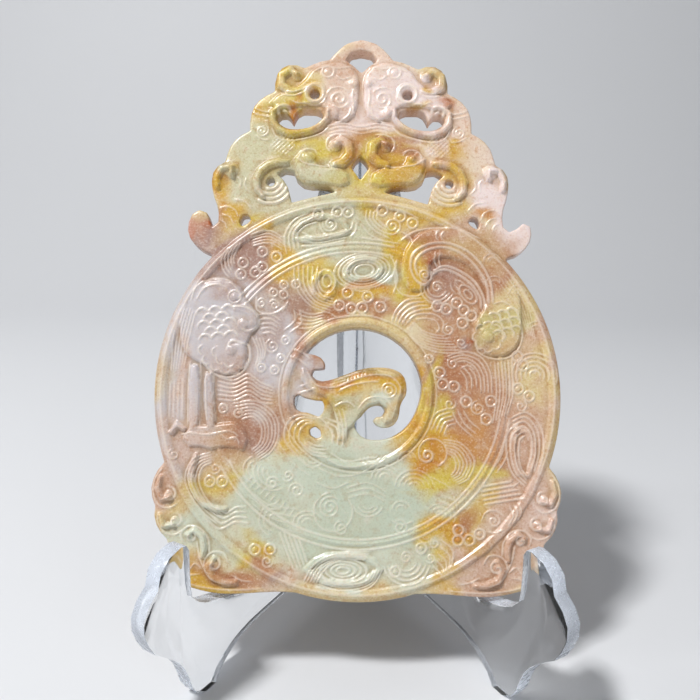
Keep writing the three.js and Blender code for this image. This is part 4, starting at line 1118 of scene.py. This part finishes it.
def attribute(nodes, name, output="Fac"):
    """What the mesh holds at each point under this name."""
    node = nodes.new("ShaderNodeAttribute")
    node.attribute_name = name
    return node.outputs[output]


print("helpers for materials ready")

# %% Jade material
BROWN_CLOUD = (0.80, 0.58, 0.38)
GREY_VEIN = (0.72, 0.60, 0.50)
BROWN_SPECK = (0.76, 0.50, 0.30)
# a light grain in the stone, and also the tint of the painted highlight on the raised threads
LIGHT_GRAIN_AND_HIGHLIGHT = (0.84, 0.76, 0.66)
DARK_GRAIN = (0.68, 0.44, 0.28)
# painted shade in the hollows, mixed with the patina held there
HOLLOW_SHADE_AND_PATINA = (0.66, 0.53, 0.38)
JADE_IOR = 1.6
GLOW_WEIGHT, GLOW_RADIUS, GLOW_DEPTH = 0.2, (1.0, 0.7, 0.4), 0.6 * MM
PORES = (0.25, 0.1 * MM)  # strength and depth of the finest unevenness

jade_material, nodes, links, shader = new_material("jade")
where = nodes.new("ShaderNodeTexCoord").outputs["Object"]
skin_node = attribute(nodes, "skin", "Color")
line_node, hollow_node = attribute(nodes, "line"), attribute(nodes, "hollow")
warmth_node = attribute(nodes, "warmth")
clouds = noise(nodes, links, where, 95.0, detail=5.0)
veins = noise(nodes, links, where, 260.0, detail=6.0, roughness=0.7)
speckle = noise(nodes, links, where, 700.0)
grain = noise(nodes, links, where, 2300.0)


def in_skin(value, low, high, amount):
    """A noise mask that is full in the warm skin and nearly gone in the pale stone."""
    node = nodes.new("ShaderNodeMath")
    node.operation = "MULTIPLY"
    links.new(ramp(nodes, links, value, low, high, 0.0, amount), node.inputs[0])
    links.new(warmth_node, node.inputs[1])
    return node.outputs[0]


base = mixed(nodes, links, in_skin(clouds, 0.42, 0.68, 0.4), skin_node, BROWN_CLOUD, "MULTIPLY")
base = mixed(nodes, links, in_skin(veins, 0.56, 0.70, 0.5), base, GREY_VEIN)
base = mixed(nodes, links, in_skin(speckle, 0.54, 0.68, 0.5), base, BROWN_SPECK, "MULTIPLY")
base = mixed(nodes, links, in_skin(grain, 0.55, 0.66, 0.3), base, LIGHT_GRAIN_AND_HIGHLIGHT)
base = mixed(nodes, links, in_skin(grain, 0.45, 0.34, 0.45), base, DARK_GRAIN, "MULTIPLY")
# painted shade and patina: the deeper a point lies below its surroundings, the darker it is made
sunk = ramp(nodes, links, hollow_node, 0.2, 1.0, 0.0, 0.8)
base = mixed(nodes, links, sunk, base, HOLLOW_SHADE_AND_PATINA, "MULTIPLY")
# painted highlight: the raised threads are lightened, as where their tops catch the light
painted_thread_highlight = mixed(nodes, links, 0.42, base, LIGHT_GRAIN_AND_HIGHLIGHT)
base = mixed(nodes, links, ramp(nodes, links, line_node, 0.2, 0.8, 0.0, 0.85), base, painted_thread_highlight)
links.new(base, shader.inputs["Base Color"])
links.new(ramp(nodes, links, veins, 0.3, 0.75, 0.24, 0.44), shader.inputs["Roughness"])
shader.inputs["IOR"].default_value = JADE_IOR
shader.inputs["Subsurface Weight"].default_value = GLOW_WEIGHT
shader.inputs["Subsurface Radius"].default_value = GLOW_RADIUS
shader.inputs["Subsurface Scale"].default_value = GLOW_DEPTH
bump = nodes.new("ShaderNodeBump")
bump.inputs["Strength"].default_value, bump.inputs["Distance"].default_value = PORES
links.new(speckle, bump.inputs["Height"])
links.new(bump.outputs["Normal"], shader.inputs["Normal"])
jade.data.materials.clear()
jade.data.materials.append(jade_material)
print("jade material has", len(nodes), "nodes")

# %% [markdown]
# ## The acrylic plates
#
# The two plates are laser-cut from clear sheet. Their solids have the right outline and slots, so
# each piece starts as a copy of its solid, merged into one skin, and gets a tiny bevel along every
# edge to catch the light. The cut edges are a shade bluer, and frosted, so they scatter light where
# the sheet's faces let it through. Both use one shader group for their fine scratches.

# %% Bevelled plates
BEVEL = 0.25 * MM
WELD = 0.001 * MM  # corners closer than this are one
SAME_PLANE = math.radians(1)  # neighbours that turn less than this become one face
FLAT_TURN = math.radians(35)  # a sharper edge than this is bevelled


def plate_piece(node_name, name):
    """A merged copy of a plate's solid with bevelled edges."""
    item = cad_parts[node_name].copy()
    item.data = item.data.copy()
    item.name = name
    item.parent = None
    for key in list(item.keys()):
        del item[key]
    bpy.context.scene.collection.objects.link(item)
    net = bmesh.new()
    net.from_mesh(item.data)
    bmesh.ops.remove_doubles(net, verts=net.verts, dist=WELD)
    bmesh.ops.dissolve_limit(net, angle_limit=SAME_PLANE, verts=net.verts, edges=net.edges)
    net.to_mesh(item.data)
    net.free()
    bevel = item.modifiers.new("bevel", "BEVEL")
    bevel.width = BEVEL
    bevel.segments = 2
    bevel.limit_method = "ANGLE"
    bevel.angle_limit = FLAT_TURN
    applied(item)
    item.data.shade_smooth()
    item.data.set_sharp_from_angle(angle=FLAT_TURN)
    return item


plates = {side: plate_piece("stand_plate_" + side, "plate_" + side) for side in ("left", "right")}
print("plates:", [(side, len(plate.data.polygons)) for side, plate in plates.items()], "faces")

# %% Clear acrylic
ACRYLIC_IOR = 1.49
FACE_TINT, EDGE_TINT = (0.97, 0.985, 1.0), (0.84, 0.90, 1.0)
SCRATCH_DETAIL = 3.0
SCRATCH_SPAN = (0.4, 0.75)  # noise from here to here goes from polished to scratched


def polish_group():
    """A shader group that both acrylics use: a roughness that wanders a little, as fine scratches do."""
    group = bpy.data.node_groups.new("worn polish", "ShaderNodeTree")
    for name, way in (("Fineness", "INPUT"), ("Polished", "INPUT"), ("Scratched", "INPUT"),
                      ("Roughness", "OUTPUT")):
        group.interface.new_socket(name, in_out=way, socket_type="NodeSocketFloat")
    nodes, links = group.nodes, group.links
    given, result = nodes.new("NodeGroupInput"), nodes.new("NodeGroupOutput")
    where = nodes.new("ShaderNodeTexCoord").outputs["Object"]
    scratches = nodes.new("ShaderNodeTexNoise")
    scratches.inputs["Detail"].default_value = SCRATCH_DETAIL
    links.new(where, scratches.inputs["Vector"])
    links.new(given.outputs["Fineness"], scratches.inputs["Scale"])
    span = nodes.new("ShaderNodeMapRange")
    span.inputs["From Min"].default_value, span.inputs["From Max"].default_value = SCRATCH_SPAN
    links.new(scratches.outputs["Fac"], span.inputs["Value"])
    links.new(given.outputs["Polished"], span.inputs["To Min"])
    links.new(given.outputs["Scratched"], span.inputs["To Max"])
    links.new(span.outputs["Result"], result.inputs["Roughness"])
    return group


worn_polish = polish_group()


def acrylic(name, tint, clearness, fineness, polished, scratched):
    """Clear plastic with plain values for how much light goes through; the shared group roughens it."""
    material, nodes, links, shader = new_material(name)
    shader.inputs["Base Color"].default_value = (*tint, 1.0)
    shader.inputs["Transmission Weight"].default_value = clearness
    shader.inputs["IOR"].default_value = ACRYLIC_IOR
    shader.inputs["Metallic"].default_value = 0.0
    wear = nodes.new("ShaderNodeGroup")
    wear.node_tree = worn_polish
    for socket, value in (("Fineness", fineness), ("Polished", polished), ("Scratched", scratched)):
        wear.inputs[socket].default_value = value
    links.new(wear.outputs["Roughness"], shader.inputs["Roughness"])
    return material


sheet_face = acrylic("acrylic_face", FACE_TINT, 1.0, 300.0, 0.01, 0.07)
cut_edge = acrylic("acrylic_cut_edge", EDGE_TINT, 0.5, 900.0, 0.22, 0.42)
print("acrylics:", sheet_face.name, "and", cut_edge.name)

# %% Materials on the plates
ALONG_SHEET = 0.9  # a face whose normal agrees with the sheet's by this much is part of the sheet's face

for side, plate in plates.items():
    plate.data.materials.clear()
    plate.data.materials.append(sheet_face)
    plate.data.materials.append(cut_edge)
    normals = np.empty(len(plate.data.polygons) * 3, np.float32)
    plate.data.polygons.foreach_get("normal", normals)
    areas = np.empty(len(plate.data.polygons), np.float32)
    plate.data.polygons.foreach_get("area", areas)
    normals = normals.reshape(-1, 3)
    sheet_normal = normals[np.argmax(areas)]
    is_edge = np.abs(normals @ sheet_normal) < ALONG_SHEET
    plate.data.polygons.foreach_set("material_index", is_edge.astype(np.int32))
    plate.data.update()
    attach(plate, "root")
    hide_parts("stand_plate_" + side)
    print(plate.name, len(plate.data.polygons), "faces,", int(is_edge.sum()), "of them edges")

# %% [markdown]
# ## Floor and light
#
# A plain pale floor curves up behind. The main light is a soft square high on the left, placed so
# that the polished jade doesn't throw it straight at the camera. A wide weak one from the front right
# fills the shadows, and a faint low strip from the left grazes the relief.

# %% Floor
FLOOR_HALF = 0.9  # metres, as all of the floor's sizes
FLOOR_FRONT = -1.2
SWEEP_START = 0.35
SWEEP_RADIUS = 0.35
WALL_TOP = 1.6
FLOOR_GREY = (0.70, 0.71, 0.73)


def sweep():
    """A floor that runs back, bends up through a quarter circle and rises as a wall."""
    bend = np.linspace(0, math.pi / 2, 24)
    back, up = SWEEP_RADIUS * np.sin(bend), SWEEP_RADIUS * (1 - np.cos(bend))
    curved = np.column_stack([SWEEP_START + back, up])
    run = np.concatenate([[[FLOOR_FRONT, 0.0]], curved, [[SWEEP_START + SWEEP_RADIUS, WALL_TOP]]])
    across = np.linspace(-FLOOR_HALF, FLOOR_HALF, 2)
    grid = np.array([(x, y, z) for y, z in run for x in across])
    quads = [(2 * k, 2 * k + 1, 2 * k + 3, 2 * k + 2) for k in range(len(run) - 1)]
    mesh = bpy.data.meshes.new("floor")
    mesh.from_pydata(grid.tolist(), [], quads)
    mesh.shade_smooth()
    item = bpy.data.objects.new("floor", mesh)
    bpy.context.scene.collection.objects.link(item)
    return item


floor = sweep()
floor_material, nodes, links, shader = new_material("floor")
shader.inputs["Base Color"].default_value = (*FLOOR_GREY, 1.0)
shader.inputs["Roughness"].default_value = 0.6
floor.data.materials.append(floor_material)
print("floor", 2 * FLOOR_HALF, "m wide")

# %% Light
LIGHT_AIM = (0, 0, 0.06)  # the middle of the disc, metres
SKY_TINT, SKY_STRENGTH = (0.95, 0.97, 1.0), 0.22


def soft_light(name, at, size, power):
    """An area light at a place in metres, turned towards the disc."""
    data = bpy.data.lights.new(name, "AREA")
    data.shape = "RECTANGLE"
    data.size, data.size_y = size
    data.energy = power
    item = bpy.data.objects.new(name, data)
    item.location = at
    item.rotation_mode = "QUATERNION"
    item.rotation_quaternion = Vector(np.array(LIGHT_AIM) - np.array(at)).to_track_quat("-Z", "Y")
    bpy.context.scene.collection.objects.link(item)
    return item


soft_light("key", (-0.42, -0.32, 0.92), (0.14, 0.14), 10.0)
soft_light("fill", (0.45, -0.60, 0.25), (0.35, 0.35), 0.9)
soft_light("graze", (-0.60, -0.16, 0.40), (0.06, 0.20), 0.4)
sky = bpy.data.worlds.new("world")
bpy.context.scene.world = sky
sky.use_nodes = True
sky.node_tree.nodes["Background"].inputs["Color"].default_value = (*SKY_TINT, 1.0)
sky.node_tree.nodes["Background"].inputs["Strength"].default_value = SKY_STRENGTH
bpy.context.scene.view_settings.view_transform = "Standard"

# %% Finish: the scene is brought up to date
bpy.context.view_layer.update()
